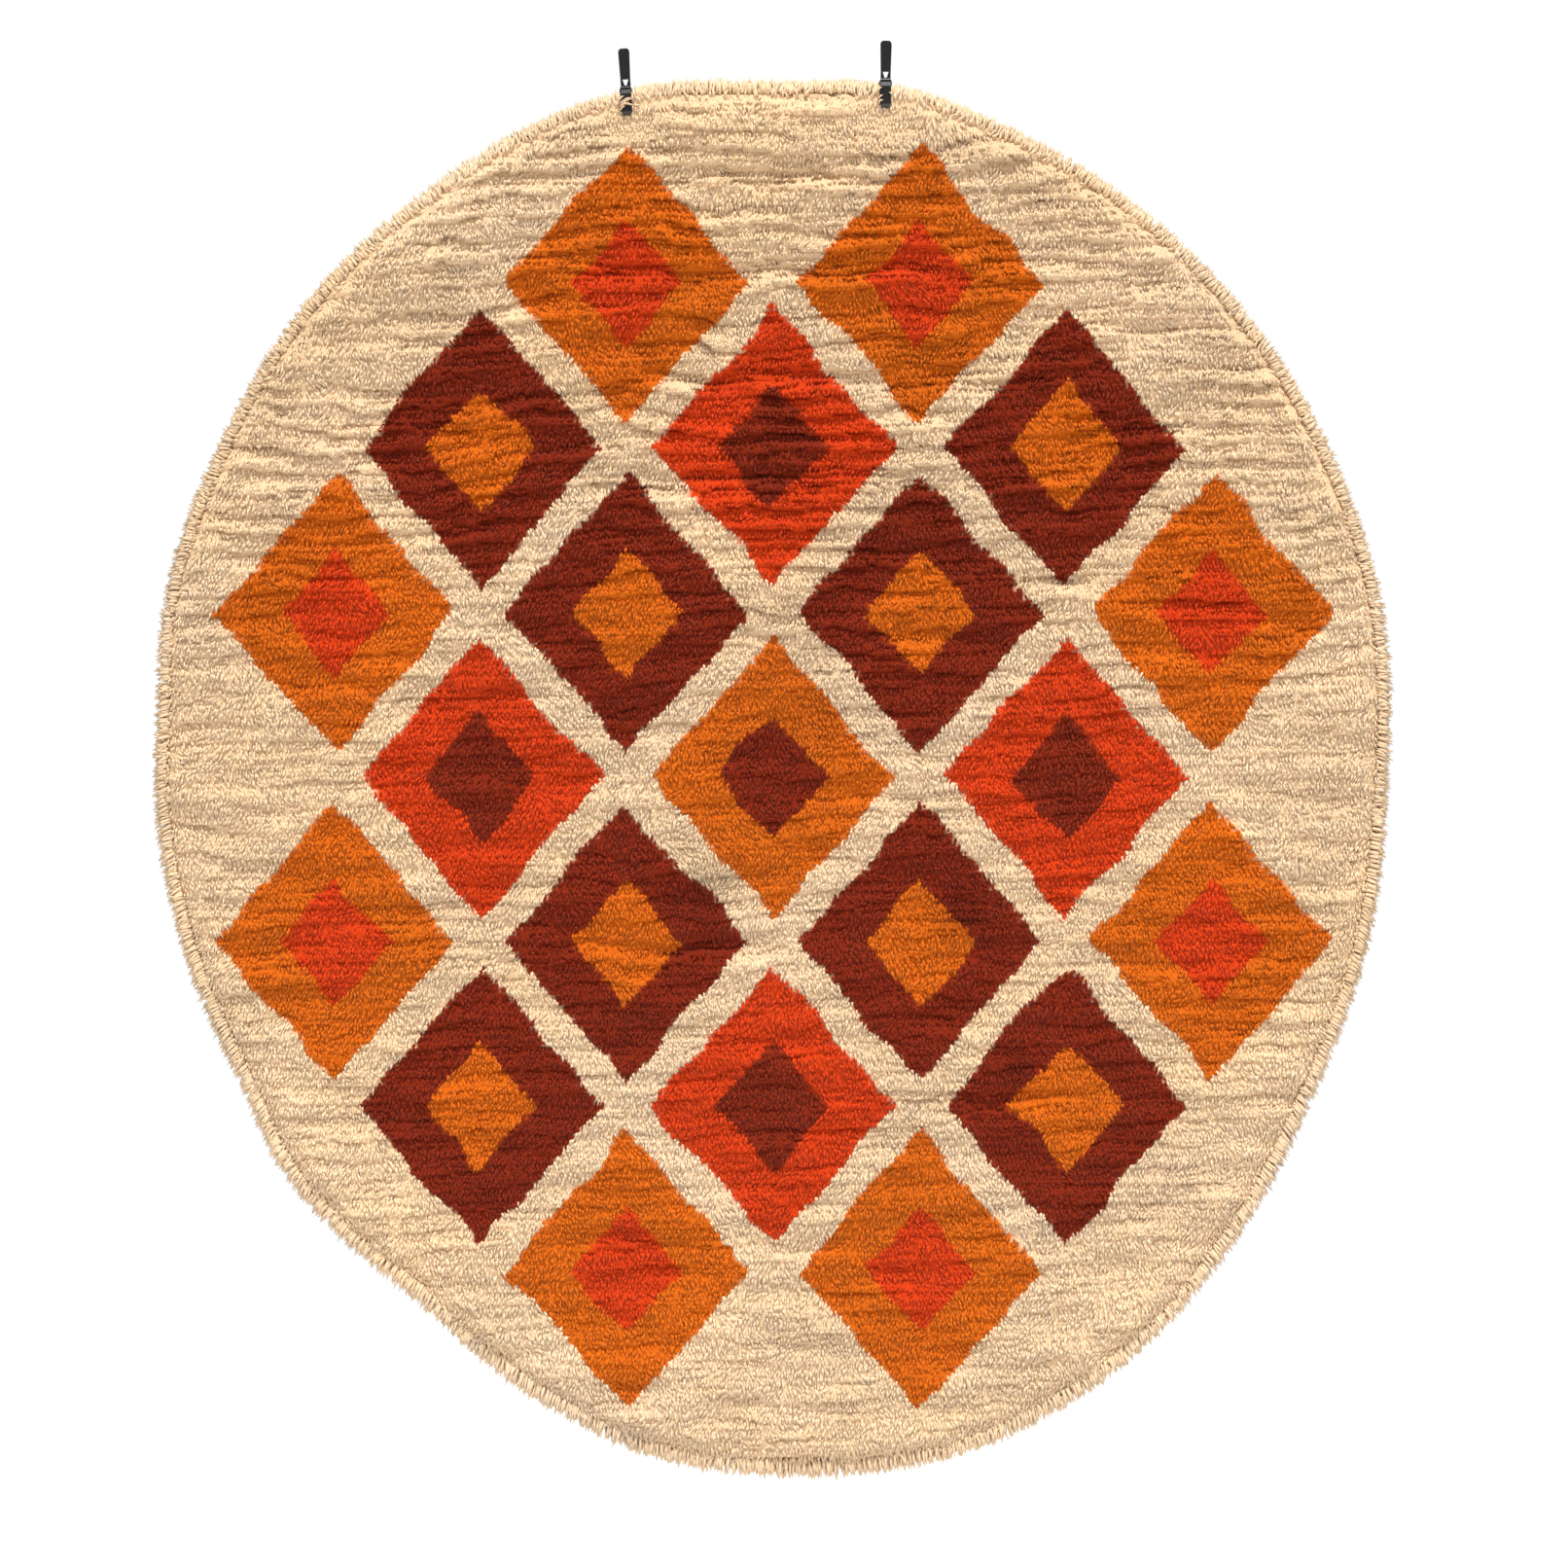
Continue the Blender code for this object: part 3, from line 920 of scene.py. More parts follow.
@dataclass(frozen=True)
class GroundFinish:
    """The ribbed wool-and-linen ground that the locks are knotted into, aged at the back."""

    effects: SharedEffects
    rib_pitch: float = 0.0082
    warp_pitch: float = 0.0041
    bump_height: float = 0.0010

    def material(self) -> bpy.types.Material:
        """Builds the finish."""
        material, tree, shader = new_material("ground_weave")
        place = tree.node("ShaderNodeTexCoord").outputs["Object"]
        parts = tree.node("ShaderNodeSeparateXYZ")
        tree.link(place, parts.inputs["Vector"])
        turn = 2.0 * math.pi
        wander = tree.noise_at(place, (26.0, 1.0, 40.0), 2.0)
        ribs = tree.maths("MULTIPLY", parts.outputs["Z"], turn / self.rib_pitch)
        rib_place = tree.maths("ADD", ribs, tree.maths("MULTIPLY", wander, 5.0))
        rib = tree.maths("SINE", rib_place)
        over_under = tree.maths("SIGN", tree.maths("SINE", tree.maths("MULTIPLY", rib_place, 0.5)))
        half_turns = tree.maths("MULTIPLY", over_under, math.pi / 2.0)
        warps = tree.maths("MULTIPLY", parts.outputs["X"], turn / self.warp_pitch)
        warp = tree.maths("SINE", tree.maths("ADD", warps, half_turns))
        fibre = tree.node("ShaderNodeGroup", node_tree=self.effects.fibre)
        fibre.inputs["Across"].default_value = 1400.0
        fibre.inputs["Along"].default_value = 1400.0
        fibre.inputs["Tone"].default_value = 0.5
        weave = tree.maths("ADD", tree.maths("MULTIPLY", rib, 0.6), tree.maths("MULTIPLY", warp, 0.4))
        height = tree.maths("ADD", weave, fibre.outputs["Height"])
        bump = tree.node("ShaderNodeBump", Strength=0.8, Distance=self.bump_height)
        tree.link(height, bump.inputs["Height"])
        tree.link(bump.outputs["Normal"], shader.inputs["Normal"])
        dyed = tree.node("ShaderNodeAttribute", attribute_name=WoolFinish.colour_name)
        cloud = tree.noise_at(place, (3.0, 3.0, 3.0), 5.0)
        clouded = tree.maths("ADD", tree.maths("MULTIPLY", cloud, 0.35), 0.78)
        # painted shade: the weave's hollows are coloured darker than its crests, added to the cloud's mottling
        shade = tree.maths("ADD", tree.maths("MULTIPLY", weave, 0.10), clouded)
        tone = tree.maths("MULTIPLY", shade, fibre.outputs["Tone"])
        tree.link(scaled_colour(tree, dyed.outputs["Color"], tone), shader.inputs["Base Color"])
        shader.inputs["Roughness"].default_value = 0.96
        shader.inputs["Sheen Weight"].default_value = 0.12
        shader.inputs["Specular IOR Level"].default_value = 0.2
        return material


@dataclass(frozen=True)
class ClipFinish:
    """Hard plastic or coated steel, rubbed by use."""

    effects: SharedEffects
    name: str
    base: Colour
    rubbed: Colour
    roughness: float
    rubbed_roughness: float
    metallic: float
    amount: float

    def material(self) -> bpy.types.Material:
        """Builds the finish."""
        material, tree, shader = new_material(self.name)
        scuff = tree.node("ShaderNodeGroup", node_tree=self.effects.scuff)
        scuff.inputs["Amount"].default_value = self.amount
        mix = tree.node("ShaderNodeMix", data_type="RGBA")
        mix.inputs[6].default_value = (*self.base, 1.0)
        mix.inputs[7].default_value = (*self.rubbed, 1.0)
        tree.link(scuff.outputs["Mask"], mix.inputs[0])
        tree.link(mix.outputs[2], shader.inputs["Base Color"])
        spread = self.rubbed_roughness - self.roughness
        rough = tree.maths("ADD", tree.maths("MULTIPLY", scuff.outputs["Mask"], spread), self.roughness)
        tree.link(rough, shader.inputs["Roughness"])
        bump = tree.node("ShaderNodeBump", Strength=0.35, Distance=0.0002)
        tree.link(scuff.outputs["Height"], bump.inputs["Height"])
        tree.link(bump.outputs["Normal"], shader.inputs["Normal"])
        shader.inputs["Metallic"].default_value = self.metallic
        shader.inputs["Specular IOR Level"].default_value = 0.25
        return material


@dataclass
class GroundCloth:
    """The woven ground, a thin sheet on the rug's slow bends."""

    lie: Lie
    motifs: Motifs
    finish: GroundFinish
    thickness: float = 0.0024
    steps: int = 72
    flat_size: float = 2.0
    aged: Colour = (0.500, 0.390, 0.250)
    show_through: float = 0.20

    @property
    def flat_area(self) -> float:
        """The round cut's area."""
        return math.pi * self.flat_size**2 / 4.0

    def build(self) -> bpy.types.Object:
        """Models the sheet from a grid drawn round to the outline.

        Returns:
            The sheet.
        """
        bpy.ops.object.select_all(action="DESELECT")
        bpy.ops.mesh.primitive_grid_add(
            x_subdivisions=self.steps, y_subdivisions=self.steps, size=2.0, rotation=(math.pi / 2.0, 0.0, 0.0)
        )
        drawn = bpy.context.active_object
        bpy.ops.object.transform_apply(location=True, rotation=True, scale=True)
        self.draw_round(drawn.data)
        wall = drawn.modifiers.new("thickness", "SOLIDIFY")
        wall.thickness = self.thickness
        wall.offset = 0.0
        wall.use_even_offset = True
        bpy.ops.object.modifier_apply(modifier=wall.name)
        mesh = drawn.data.copy()
        mesh.name = "ground_cloth"
        bpy.data.objects.remove(drawn, do_unlink=True)
        mesh.shade_smooth()
        self.tint(mesh)
        return new_piece("ground_cloth", mesh, self.finish.material())

    def draw_round(self, mesh: bpy.types.Mesh) -> None:
        """Moves a square grid's points to the rug's outline and bends.

        Args:
            mesh: The grid, 2 by 2, standing.
        """
        points = mesh_points(mesh)
        u, v = points[:, 0], points[:, 2]
        ring = np.maximum(np.abs(u), np.abs(v))
        round_off = smooth_step(0.15, 1.0, ring)
        shrink = np.where(ring > 0.0, ring / np.maximum(np.hypot(u, v), 1e-9), 1.0)
        share = round_off * shrink + (1.0 - round_off)
        u, v = u * share, v * share
        degrees = np.degrees(np.arctan2(v, u))
        outline = self.lie.outline
        reach = outline.reach(degrees) - outline.ground_inset
        x, z = outline.middle_x + u * reach, outline.middle_z + v * reach
        points = np.stack([x, self.lie.set_back(x, z), z], axis=1)
        mesh.vertices.foreach_set("co", points.ravel())
        mesh.update()

    def tint(self, mesh: bpy.types.Mesh) -> None:
        """Lets the pile's colours show faintly through the back.

        Args:
            mesh: The sheet's mesh, in place.
        """
        points = mesh_points(mesh)
        dyed = self.motifs.colours(points[:, 0], points[:, 2])
        plain = np.array(self.aged) * (1.0 - self.show_through)
        tint_points(mesh, plain + dyed * self.show_through)


@dataclass
class Mat:
    """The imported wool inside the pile, which shows between the locks."""

    face: PileFace
    motifs: Motifs
    wear: Wear
    material: bpy.types.Material
    columns: int = 156
    rows: int = 440
    inset: float = 0.019
    sunk: float = 0.0026
    edge_depth: float = 0.0006
    end_trim: float = 0.004
    # painted shade: the mat's colour is darkened and warmed, since this wool lies deep in the pile in shade
    tone: Colour = (0.88, 0.82, 0.74)

    def build(self) -> bpy.types.Object:
        """Models the mat from a grid drawn out to the outline and raised in relief.

        Returns:
            The mat.
        """
        bpy.ops.object.select_all(action="DESELECT")
        bpy.ops.mesh.primitive_grid_add(
            x_subdivisions=self.columns, y_subdivisions=self.rows, size=2.0, rotation=(math.pi / 2.0, 0.0, 0.0)
        )
        drawn = bpy.context.active_object
        bpy.ops.object.transform_apply(location=True, rotation=True, scale=True)
        mesh = drawn.data.copy()
        mesh.name = "wool_mat"
        bpy.data.objects.remove(drawn, do_unlink=True)
        points = mesh_points(mesh)
        x, z = self.spread(points[:, 0], points[:, 2])
        depth = self.face.depth(x, z) - self.sunk
        border = np.maximum(np.abs(points[:, 0]), np.abs(points[:, 2])) > 0.9999
        depth[border] = self.edge_depth
        points = np.stack([x, self.face.lie.set_back(x, z) - depth, z], axis=1)
        mesh.vertices.foreach_set("co", points.ravel())
        mesh.update()
        mesh.shade_smooth()
        # the motifs' worn colours times the mat's painted shade
        dyed = self.wear.worn(self.motifs.colours(x, z), x, z) * np.array(self.tone)
        tint_points(mesh, dyed)
        return new_piece("wool_mat", mesh, self.material)

    def spread(self, u: np.ndarray, v: np.ndarray) -> tuple[np.ndarray, np.ndarray]:
        """Maps the square grid, row by row, to the rug's outline.

        Args:
            u: Columns, -1 to 1.
            v: Rows, -1 to 1.

        Returns:
            Places across and heights.
        """
        outline = self.face.lie.outline
        quarter = np.linspace(-90.0, 90.0, 721)
        right = outline.reach(quarter) - self.inset
        left = outline.reach(180.0 - quarter) - self.inset
        right_z = np.maximum.accumulate(right * np.sin(np.radians(quarter)))
        left_z = np.maximum.accumulate(left * np.sin(np.radians(quarter)))
        low = max(right_z[0], left_z[0]) + self.end_trim
        high = min(right_z[-1], left_z[-1]) - self.end_trim
        up = low + (v + 1.0) / 2.0 * (high - low)
        right_x = np.interp(up, right_z, right * np.cos(np.radians(quarter)))
        left_x = -np.interp(up, left_z, left * np.cos(np.radians(quarter)))
        across = left_x + (u + 1.0) / 2.0 * (right_x - left_x)
        return outline.middle_x + across, outline.middle_z + up


@dataclass
class Pile:
    """The knotted locks, in close rows that hang over one another."""

    face: PileFace
    motifs: Motifs
    wear: Wear
    material: bpy.types.Material
    row_pitch: float = 0.0061
    lock_step: float = 0.0044
    bands: int = 4
    drop: float = 0.0182
    width: float = 0.0052
    thickness: float = 0.0034
    root_depth: float = 0.0014
    bend_share: float = 0.46
    lean: float = 1.05
    uneven_across: float = 0.8
    uneven_up: float = 0.6
    edge_room: float = 0.003
    edge_from: float = 0.004
    edge_to: float = 0.026
    side_turn: float = 0.45
    parting_room: float = 0.017
    parting_width: float = 0.014
    uneven_length: float = 0.35
    edge_shortening: float = 0.30
    seed: int = 7

    def build(self) -> list[bpy.types.Object]:
        """Makes the locks, a piece for each band of rows.

        Returns:
            The pieces, from the top down.
        """
        draws = np.random.default_rng(self.seed)
        x, z, row = self.roots(draws)
        batch = self.shape(x, z, draws)
        pieces = []
        for i, chosen in enumerate(np.array_split(np.argsort(-row, kind="stable"), self.bands)):
            name = f"pile_band_{i + 1}"
            pieces.append(new_piece(name, batch.chosen(chosen).mesh(name), self.material))
            LOG.info("%s: %d locks", name, len(chosen))
        return pieces

    def roots(self, draws: np.random.Generator) -> tuple[np.ndarray, np.ndarray, np.ndarray]:
        """Where each lock is knotted.

        Args:
            draws: The seeded source of the knots' unevenness.

        Returns:
            Places across, heights, and rows counted up from the rug's foot.
        """
        outline = self.face.lie.outline
        rows = np.arange(math.ceil(2.0 * outline.farthest / self.row_pitch))
        columns = np.arange(math.ceil(2.0 * outline.farthest / self.lock_step))
        row, column = (part.ravel() for part in np.meshgrid(rows, columns, indexing="ij"))
        jitter = draws.uniform(-0.5, 0.5, (2, len(row)))
        left, low = outline.middle_x - outline.farthest, outline.middle_z - outline.farthest
        x = left + self.lock_step * (column + 0.5 * (row % 2) + self.uneven_across * jitter[0])
        z = low + self.row_pitch * (row + self.uneven_up * jitter[1])
        inside = outline.room(x, z) > self.edge_room
        return x[inside], z[inside], row[inside]

    def shape(self, x: np.ndarray, z: np.ndarray, draws: np.random.Generator) -> LockBatch:
        """Works out every lock's course from root to tip.

        Args:
            x: The roots' places across.
            z: Their heights.
            draws: The seeded source of each lock's own shape.

        Returns:
            The locks.
        """
        count = len(x)
        lie, outline = self.face.lie, self.face.lie.outline
        pinch = lie.pinch(x, z)
        room = outline.room(x, z)
        edge = 1.0 - smooth_step(self.edge_from, self.edge_to, room)
        angle = np.arctan2(z - outline.middle_z, x - outline.middle_x)
        raised = np.clip(np.sin(angle), 0.0, 1.0)
        stray = draws.uniform(-0.2, 0.2, count)
        turn = self.side_turn * edge * (1.0 - raised) + raised * smooth_step(0.40, 0.60, edge + stray)
        parting = raised * np.exp(-(((room - self.parting_room) / self.parting_width) ** 2))
        lean = self.lean * soft_noise(x / 0.040, 4.4, z / 0.024)
        lean += (0.12 + 0.15 * parting) * draws.normal(0.0, 1.0, count)
        lean *= 0.3 + 0.7 * pinch
        run_x = np.cos(angle) * turn + lean
        run_z = -(1.0 - turn) + np.sin(angle) * turn
        size = np.maximum(np.hypot(run_x, run_z), 0.2)
        run_x, run_z = run_x / size, run_z / size
        length = self.drop * draws.uniform(0.80, 1.20, count)
        length *= 1.0 + self.uneven_length * soft_noise(x / 0.06, 3.3, z / 0.03)
        length *= 1.0 - self.edge_shortening * edge
        bend = length * self.bend_share * (1.0 - 0.85 * parting)
        bend_x, bend_z = x + run_x * bend, z + run_z * bend
        face = self.face.depth(bend_x, bend_z)
        shaggy = (0.55 + 0.45 * smooth_step(-1.5, -0.6, z)) * pinch
        face += 0.0010 * draws.normal(0.0, 1.0, count) * shaggy
        proud = 0.0014 * shaggy
        spare = draws.uniform(-0.0010, 0.0040, count)
        hanging = self.face.trimmed(bend_x, bend_z, length - bend, spare)
        reach = bend + np.where(run_z < 0.0, hanging, length - bend)

        def place(along: np.ndarray, depth: np.ndarray | float) -> np.ndarray:
            """A point on every lock's middle line."""
            here_x = x + run_x * along
            here_z = z + run_z * along
            return np.stack([here_x, lie.set_back(here_x, here_z) - depth, here_z], axis=1)

        twist = draws.uniform(-0.5, 0.5, count)
        sides = np.stack([-run_z * np.cos(twist), -np.sin(twist), run_x * np.cos(twist)], axis=1)
        own = draws.uniform(0.8, 1.2, count)
        seen_x, seen_z = x + run_x * bend * 1.4, z + run_z * bend * 1.4
        colours = self.wear.worn(self.motifs.colours(seen_x, seen_z), seen_x, seen_z)
        return LockBatch(
            roots=place(np.zeros(count), self.root_depth),
            rings=[place(bend, face - 0.0008)],
            tips=place(reach, face + proud),
            sides=sides,
            widths=[self.width * own],
            thicknesses=[self.thickness * own],
            colours=colours * self.wear.lock_tones(count, draws),
            # painted shade: darker and warmer at the root, a little lighter at the tip
            painted_root_shade=((0.74, 0.64, 0.52), (0.96, 0.93, 0.90), (1.05, 1.05, 1.06)),
        )


@dataclass
class RimLocks:
    """The outermost locks, which stand out past the ground cloth's edge."""

    face: PileFace
    motifs: Motifs
    wear: Wear
    material: bpy.types.Material
    step: float = 0.0040
    reach: float = 0.0165
    width: float = 0.0054
    thickness: float = 0.0036
    layers: tuple[tuple[float, float, float], ...] = (
        # how far in its roots lie, how far out it stands at the bend, share of the reach
        (0.003, 0.0030, 1.00),
        (0.008, 0.0070, 0.90),
        (0.014, 0.0105, 0.70),
    )
    seed: int = 19

    def build(self) -> bpy.types.Object:
        """Makes the locks round the rim as one piece.

        Returns:
            The piece.
        """
        lie, outline = self.face.lie, self.face.lie.outline
        draws = np.random.default_rng(self.seed)
        count = math.ceil(2.0 * math.pi * outline.farthest / self.step)
        layers = range(len(self.layers))
        turns = np.concatenate([(np.arange(count) + 0.37 * i) / count for i in layers])
        inset, stand, share = np.repeat(np.array(self.layers), count, axis=0).T
        angle = turns * 2.0 * math.pi + draws.uniform(-0.45, 0.45, len(turns)) * 2.0 * math.pi / count
        out_x, out_z = np.cos(angle), np.sin(angle)
        edge = outline.reach(np.degrees(angle)) - outline.ground_inset - inset
        x, z = outline.middle_x + edge * out_x, outline.middle_z + edge * out_z
        pinch = lie.pinch(x, z)
        reach = self.reach * share * draws.uniform(0.70, 1.15, len(x)) + inset
        clump = 0.008 * soft_noise(x / 0.018, z / 0.018, 2.5)
        sideways = (clump + 0.0040 * draws.normal(0.0, 1.0, len(x))) * (0.3 + 0.7 * pinch)
        sag = 0.011 * draws.uniform(0.2, 1.0, len(x)) * (1.0 - 0.85 * np.maximum(out_z, 0.0))
        depth = (stand + 0.0010 * draws.normal(0.0, 1.0, len(x))) * (0.6 + 0.4 * pinch)

        def place(along: float, out: float) -> np.ndarray:
            """A point on every lock's middle line."""
            here_x = x + out_x * reach * along - out_z * sideways * along
            here_z = z + out_z * reach * along + out_x * sideways * along - sag * along * along
            here_y = lie.set_back(here_x, here_z) - depth * out
            return np.stack([here_x, here_y, here_z], axis=1)

        sides = np.stack([-out_z, np.zeros(len(x)), out_x], axis=1)
        size = draws.uniform(0.8, 1.2, len(x))
        colours = self.wear.worn(self.motifs.colours(x, z), x, z)
        batch = LockBatch(
            roots=place(0.0, 0.3),
            rings=[place(0.35, 0.95), place(0.70, 1.0)],
            tips=place(1.0, 0.8),
            sides=sides,
            widths=[self.width * size, self.width * 0.85 * size],
            thicknesses=[self.thickness * size, self.thickness * 0.85 * size],
            colours=colours * self.wear.lock_tones(len(x), draws),
            # painted shade: darker and warmer at the root, a little lighter at the tip
            painted_root_shade=(
                (0.82, 0.76, 0.68),
                (0.92, 0.89, 0.85),
                (0.99, 0.98, 0.97),
                (1.04, 1.04, 1.05),
            ),
        )
        return new_piece("rim_locks", batch.mesh("rim_locks"), self.material)


@dataclass
class StrayLocks:
    """The few locks that have worked loose over the clips' jaws."""

    clips: tuple[Clip, ...]
    wear: Wear
    material: bpy.types.Material
    over_jaw: float = 0.0152
    beside_jaw: float = 0.0100
    thickness: float = 0.0026
    locks: tuple[tuple[str, float, float, float, float, float], ...] = (
        # clip, where it starts beside the middle, how far down, where it ends, how far down, width
        ("left", -0.0130, 0.0905, 0.0080, 0.0800, 0.0034),
        ("left", -0.0125, 0.0880, 0.0095, 0.0765, 0.0030),
        ("left", -0.0135, 0.0935, 0.0060, 0.0845, 0.0032),
        ("left", 0.0125, 0.0900, -0.0045, 0.0885, 0.0028),
        ("left", -0.0120, 0.0985, -0.0010, 0.0900, 0.0030),
        ("left", 0.0120, 0.0780, -0.0035, 0.0850, 0.0026),
        ("left", -0.0125, 0.0840, -0.0020, 0.0745, 0.0028),
        ("right", -0.0130, 0.0990, -0.0020, 0.0925, 0.0030),
        ("right", -0.0125, 0.0930, -0.0030, 0.0850, 0.0028),
        ("right", 0.0130, 0.0880, 0.0035, 0.0810, 0.0026),
        ("right", -0.0125, 0.0800, -0.0045, 0.0735, 0.0026),
    )
    seed: int = 3

    def build(self) -> bpy.types.Object:
        """Makes the stray locks as one piece.

        Returns:
            The piece.
        """
        draws = np.random.default_rng(self.seed)
        by_side = {clip.side: clip for clip in self.clips}
        starts, ends, widths = [], [], []
        for side, start_x, start_drop, end_x, end_drop, width in self.locks:
            clip = by_side[side]
            for across, drop, found in ((start_x, start_drop, starts), (end_x, end_drop, ends)):
                z = clip.top_z - drop
                found.append((float(clip.middle_at(z)) + across, z))
            widths.append(width)
        start, end, width = np.array(starts), np.array(ends), np.array(widths)

        def place(along: float, depth: float) -> np.ndarray:
            """A point on every lock's middle line, bowed a little upward."""
            here = start + (end - start) * along
            rise = 0.0022 * math.sin(math.pi * along)
            return np.stack([here[:, 0], np.full(len(here), -depth), here[:, 1] + rise], axis=1)

        run = end - start
        run /= np.linalg.norm(run, axis=1, keepdims=True)
        sides = np.stack([-run[:, 1], np.zeros(len(run)), run[:, 0]], axis=1)
        cream = np.tile(np.array(Yarn.CREAM.value), (len(run), 1))
        batch = LockBatch(
            roots=place(0.0, self.beside_jaw - 0.003),
            rings=[place(0.22, self.over_jaw - 0.001), place(0.6, self.over_jaw)],
            tips=place(1.0, self.over_jaw - 0.0008),
            sides=sides,
            widths=[width * 0.9, width],
            thicknesses=[np.full(len(run), self.thickness)] * 2,
            colours=cream * self.wear.lock_tones(len(run), draws),
            # painted shade: darker and warmer at the root beside the jaw, a little lighter at the tip
            painted_root_shade=(
                (0.74, 0.66, 0.56),
                (0.92, 0.89, 0.85),
                (1.0, 1.0, 1.0),
                (1.05, 1.05, 1.05),
            ),
        )
        return new_piece("stray_locks", batch.mesh("stray_locks"), self.material)


@dataclass
class ClipDressing:
    """The clips' finishes on their solids."""

    clips: tuple[Clip, ...]
    black: ClipFinish
    steel: ClipFinish

    def build(self) -> None:
        """Dresses each clip's nodes."""
        black, steel = self.black.material(), self.steel.material()
        for clip in self.clips:
            for part, finish in (("hanger", black), ("jaw", black), ("barrel", steel)):
                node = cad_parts[f"{clip.side}_clip_{part}"]
                node.data.materials.clear()
                node.data.materials.append(finish)


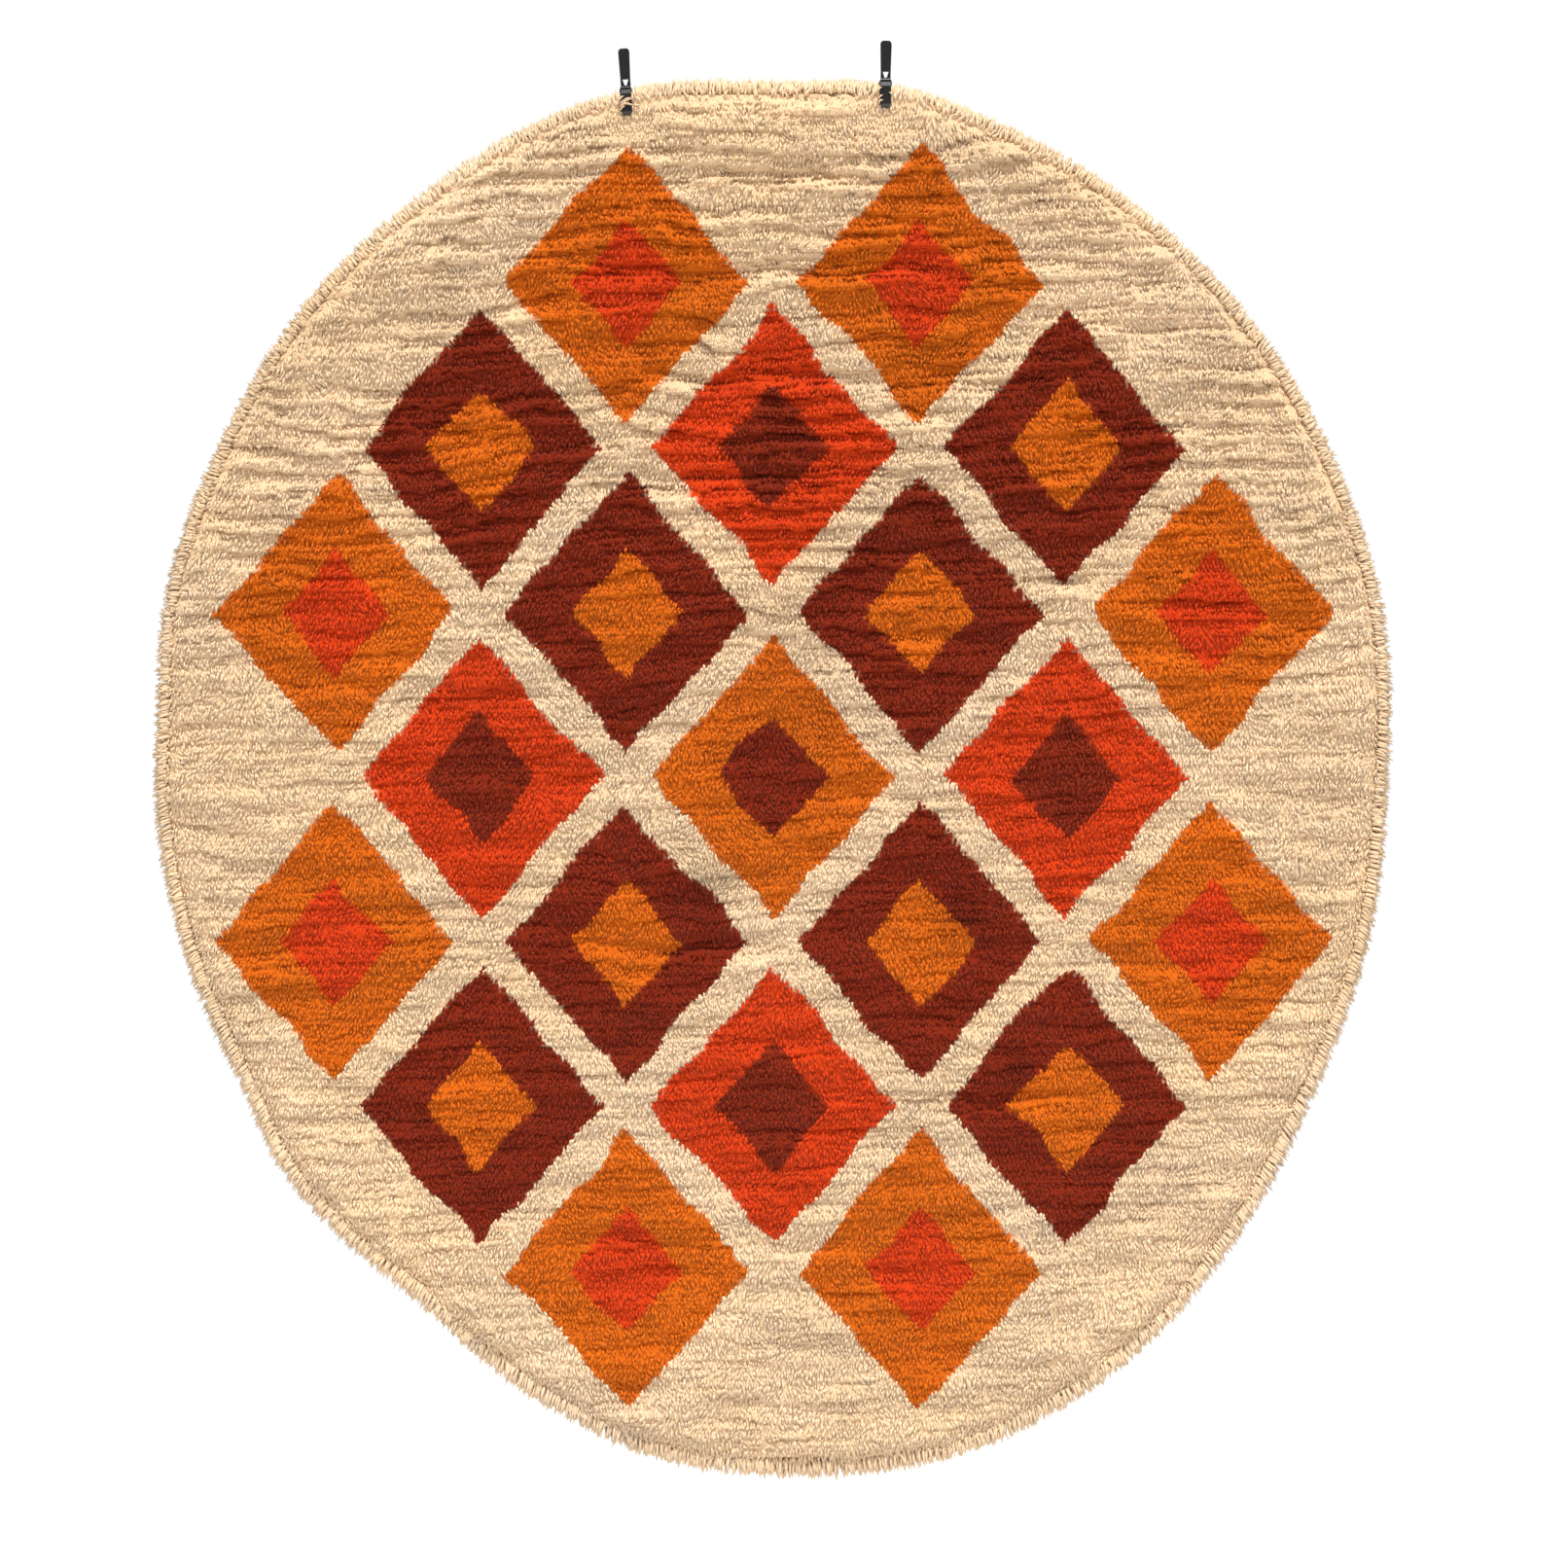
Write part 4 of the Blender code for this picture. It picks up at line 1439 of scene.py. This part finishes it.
@dataclass(frozen=True)
class Studio:
    """The plain floor, the soft lights and the camera."""

    image_side: int = 1612
    metres_a_pixel: float = 0.001478
    hang_pixel_x: float = 776.0
    hang_pixel_y: float = 46.0
    lens: float = 70.0
    sensor: float = 36.0
    floor_drop: float = 3.3
    floor_side: float = 16.0
    key_strength: float = 4.2
    key_softness: float = 13.0
    key_slope: float = 1.75
    ambient: float = 0.46

    def build(self) -> None:
        """Sets the stage."""
        self.build_floor()
        self.build_lights()
        self.build_camera()

    def build_floor(self) -> None:
        """A plain pale floor, well below the rug."""
        bpy.ops.object.select_all(action="DESELECT")
        bpy.ops.mesh.primitive_plane_add(size=self.floor_side, location=(0.0, 0.0, -self.floor_drop))
        floor = bpy.context.active_object
        floor.name = "floor"
        bpy.ops.object.transform_apply(location=True, rotation=True, scale=True)
        material, _, shader = new_material("pale_paper")
        shader.inputs["Base Color"].default_value = (0.86, 0.86, 0.86, 1.0)
        shader.inputs["Roughness"].default_value = 0.9
        shader.inputs["Specular IOR Level"].default_value = 0.1
        floor.data.materials.clear()
        floor.data.materials.append(material)
        floor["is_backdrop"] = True

    def light(
        self,
        name: str,
        place: tuple[float, float, float],
        aim: tuple[float, float, float],
        size: tuple[float, float],
        power: float,
        colour: Colour,
    ) -> None:
        """Adds a soft rectangular light, aimed at a point.

        Args:
            name: Its name.
            place: Where it stands.
            aim: The point that it faces.
            size: Its width and height.
            power: Its watts.
            colour: Its linear colour.
        """
        lamp = bpy.data.lights.new(name, "AREA")
        lamp.shape = "RECTANGLE"
        lamp.size, lamp.size_y = size
        lamp.energy = power
        lamp.color = colour
        holder = bpy.data.objects.new(name, lamp)
        bpy.context.scene.collection.objects.link(holder)
        holder.location = place
        holder.rotation_euler = (Vector(aim) - Vector(place)).to_track_quat("-Z", "Y").to_euler()

    def build_lights(self) -> None:
        """A warm light from above, a broad front fill and a light behind."""
        sun = bpy.data.lights.new("key", "SUN")
        sun.energy = self.key_strength
        sun.angle = math.radians(self.key_softness)
        sun.color = (1.0, 0.965, 0.91)
        holder = bpy.data.objects.new("key", sun)
        bpy.context.scene.collection.objects.link(holder)
        holder.rotation_euler = Vector((-0.12, 1.0, -self.key_slope)).to_track_quat("-Z", "Y").to_euler()
        self.light("fill", (0.0, -6.0, -0.4), (0.0, 0.0, -1.2), (5.0, 3.5), 60.0, (1.0, 0.98, 0.97))
        self.light("back", (1.0, 4.5, 0.8), (0.0, 0.0, -1.1), (3.0, 3.0), 110.0, (1.0, 1.0, 1.0))
        world = bpy.data.worlds.new("studio")
        world.use_nodes = True
        tree = NodeTree(world.node_tree)
        lit = world.node_tree.nodes["Background"]
        lit.inputs["Color"].default_value = (1.0, 0.97, 0.93, 1.0)
        lit.inputs["Strength"].default_value = self.ambient
        seen = tree.node("ShaderNodeBackground", Color=(1.0, 1.0, 1.0, 1.0), Strength=1.0)
        mix = tree.node("ShaderNodeMixShader")
        tree.link(tree.node("ShaderNodeLightPath").outputs["Is Camera Ray"], mix.inputs[0])
        tree.link(lit.outputs["Background"], mix.inputs[1])
        tree.link(seen.outputs["Background"], mix.inputs[2])
        tree.link(mix.outputs["Shader"], world.node_tree.nodes["World Output"].inputs["Surface"])
        bpy.context.scene.world = world

    def build_camera(self) -> None:
        """Looks straight at the rug's face, with the photograph's framing."""
        lens = bpy.data.cameras.new("camera")
        lens.lens = self.lens
        lens.sensor_width = self.sensor
        lens.clip_end = 100.0
        middle = self.image_side / 2.0
        span = self.image_side * self.metres_a_pixel
        camera = bpy.data.objects.new("camera", lens)
        bpy.context.scene.collection.objects.link(camera)
        camera.location = (
            (middle - self.hang_pixel_x) * self.metres_a_pixel,
            -span * self.lens / self.sensor,
            (self.hang_pixel_y - middle) * self.metres_a_pixel,
        )
        camera.rotation_euler = (math.pi / 2.0, 0.0, 0.0)
        bpy.context.scene.camera = camera


def main() -> None:
    """Builds the rug, its clips and the studio."""
    logging.basicConfig(level=logging.INFO, format="%(message)s")
    bpy.context.scene.view_settings.view_transform = "Standard"
    clips = (
        Clip("left", -0.1995, -0.0059, -3.4),
        Clip("right", 0.1995, 0.0059, 0.8),
    )
    outline = Outline()
    lie = Lie(outline, clips)
    motifs = Motifs(outline)
    wear = Wear()
    effects = SharedEffects()
    wool = WoolFinish(effects).material()
    ground = GroundCloth(lie, motifs, GroundFinish(effects))
    sheet = ground.build()
    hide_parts("rug")
    waves = Lips(
        lie,
        pitch=0.032,
        upper_step=0.0115,
        lower_step=0.0050,
        wander=0.013,
        slice_at=1.3,
        base=0.55,
        crease_gain=0.0,
    )
    ripples = Lips(
        lie,
        pitch=0.0140,
        upper_step=0.0095,
        lower_step=0.0070,
        wander=0.0065,
        slice_at=12.1,
        base=0.55,
        crease_gain=0.45,
    )
    face = PileFace(lie, (waves, ripples))
    mat = Mat(face, motifs, wear, wool).build()
    pile = Pile(face, motifs, wear, wool).build()
    rim = RimLocks(face, motifs, wear, wool).build()
    stray = StrayLocks(clips, wear, wool).build()
    black = ClipFinish(
        effects,
        name="black_plastic",
        base=(0.006, 0.006, 0.007),
        rubbed=(0.030, 0.030, 0.030),
        roughness=0.34,
        rubbed_roughness=0.60,
        metallic=0.0,
        amount=0.4,
    )
    steel = ClipFinish(
        effects,
        name="coated_steel",
        base=(0.018, 0.018, 0.020),
        rubbed=(0.260, 0.260, 0.260),
        roughness=0.36,
        rubbed_roughness=0.28,
        metallic=0.9,
        amount=0.6,
    )
    ClipDressing(clips, black, steel).build()
    Studio().build()
    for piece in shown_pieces():
        LOG.info("%s: %d faces", piece.name, len(piece.data.polygons))


if __name__ == "__main__":
    main()
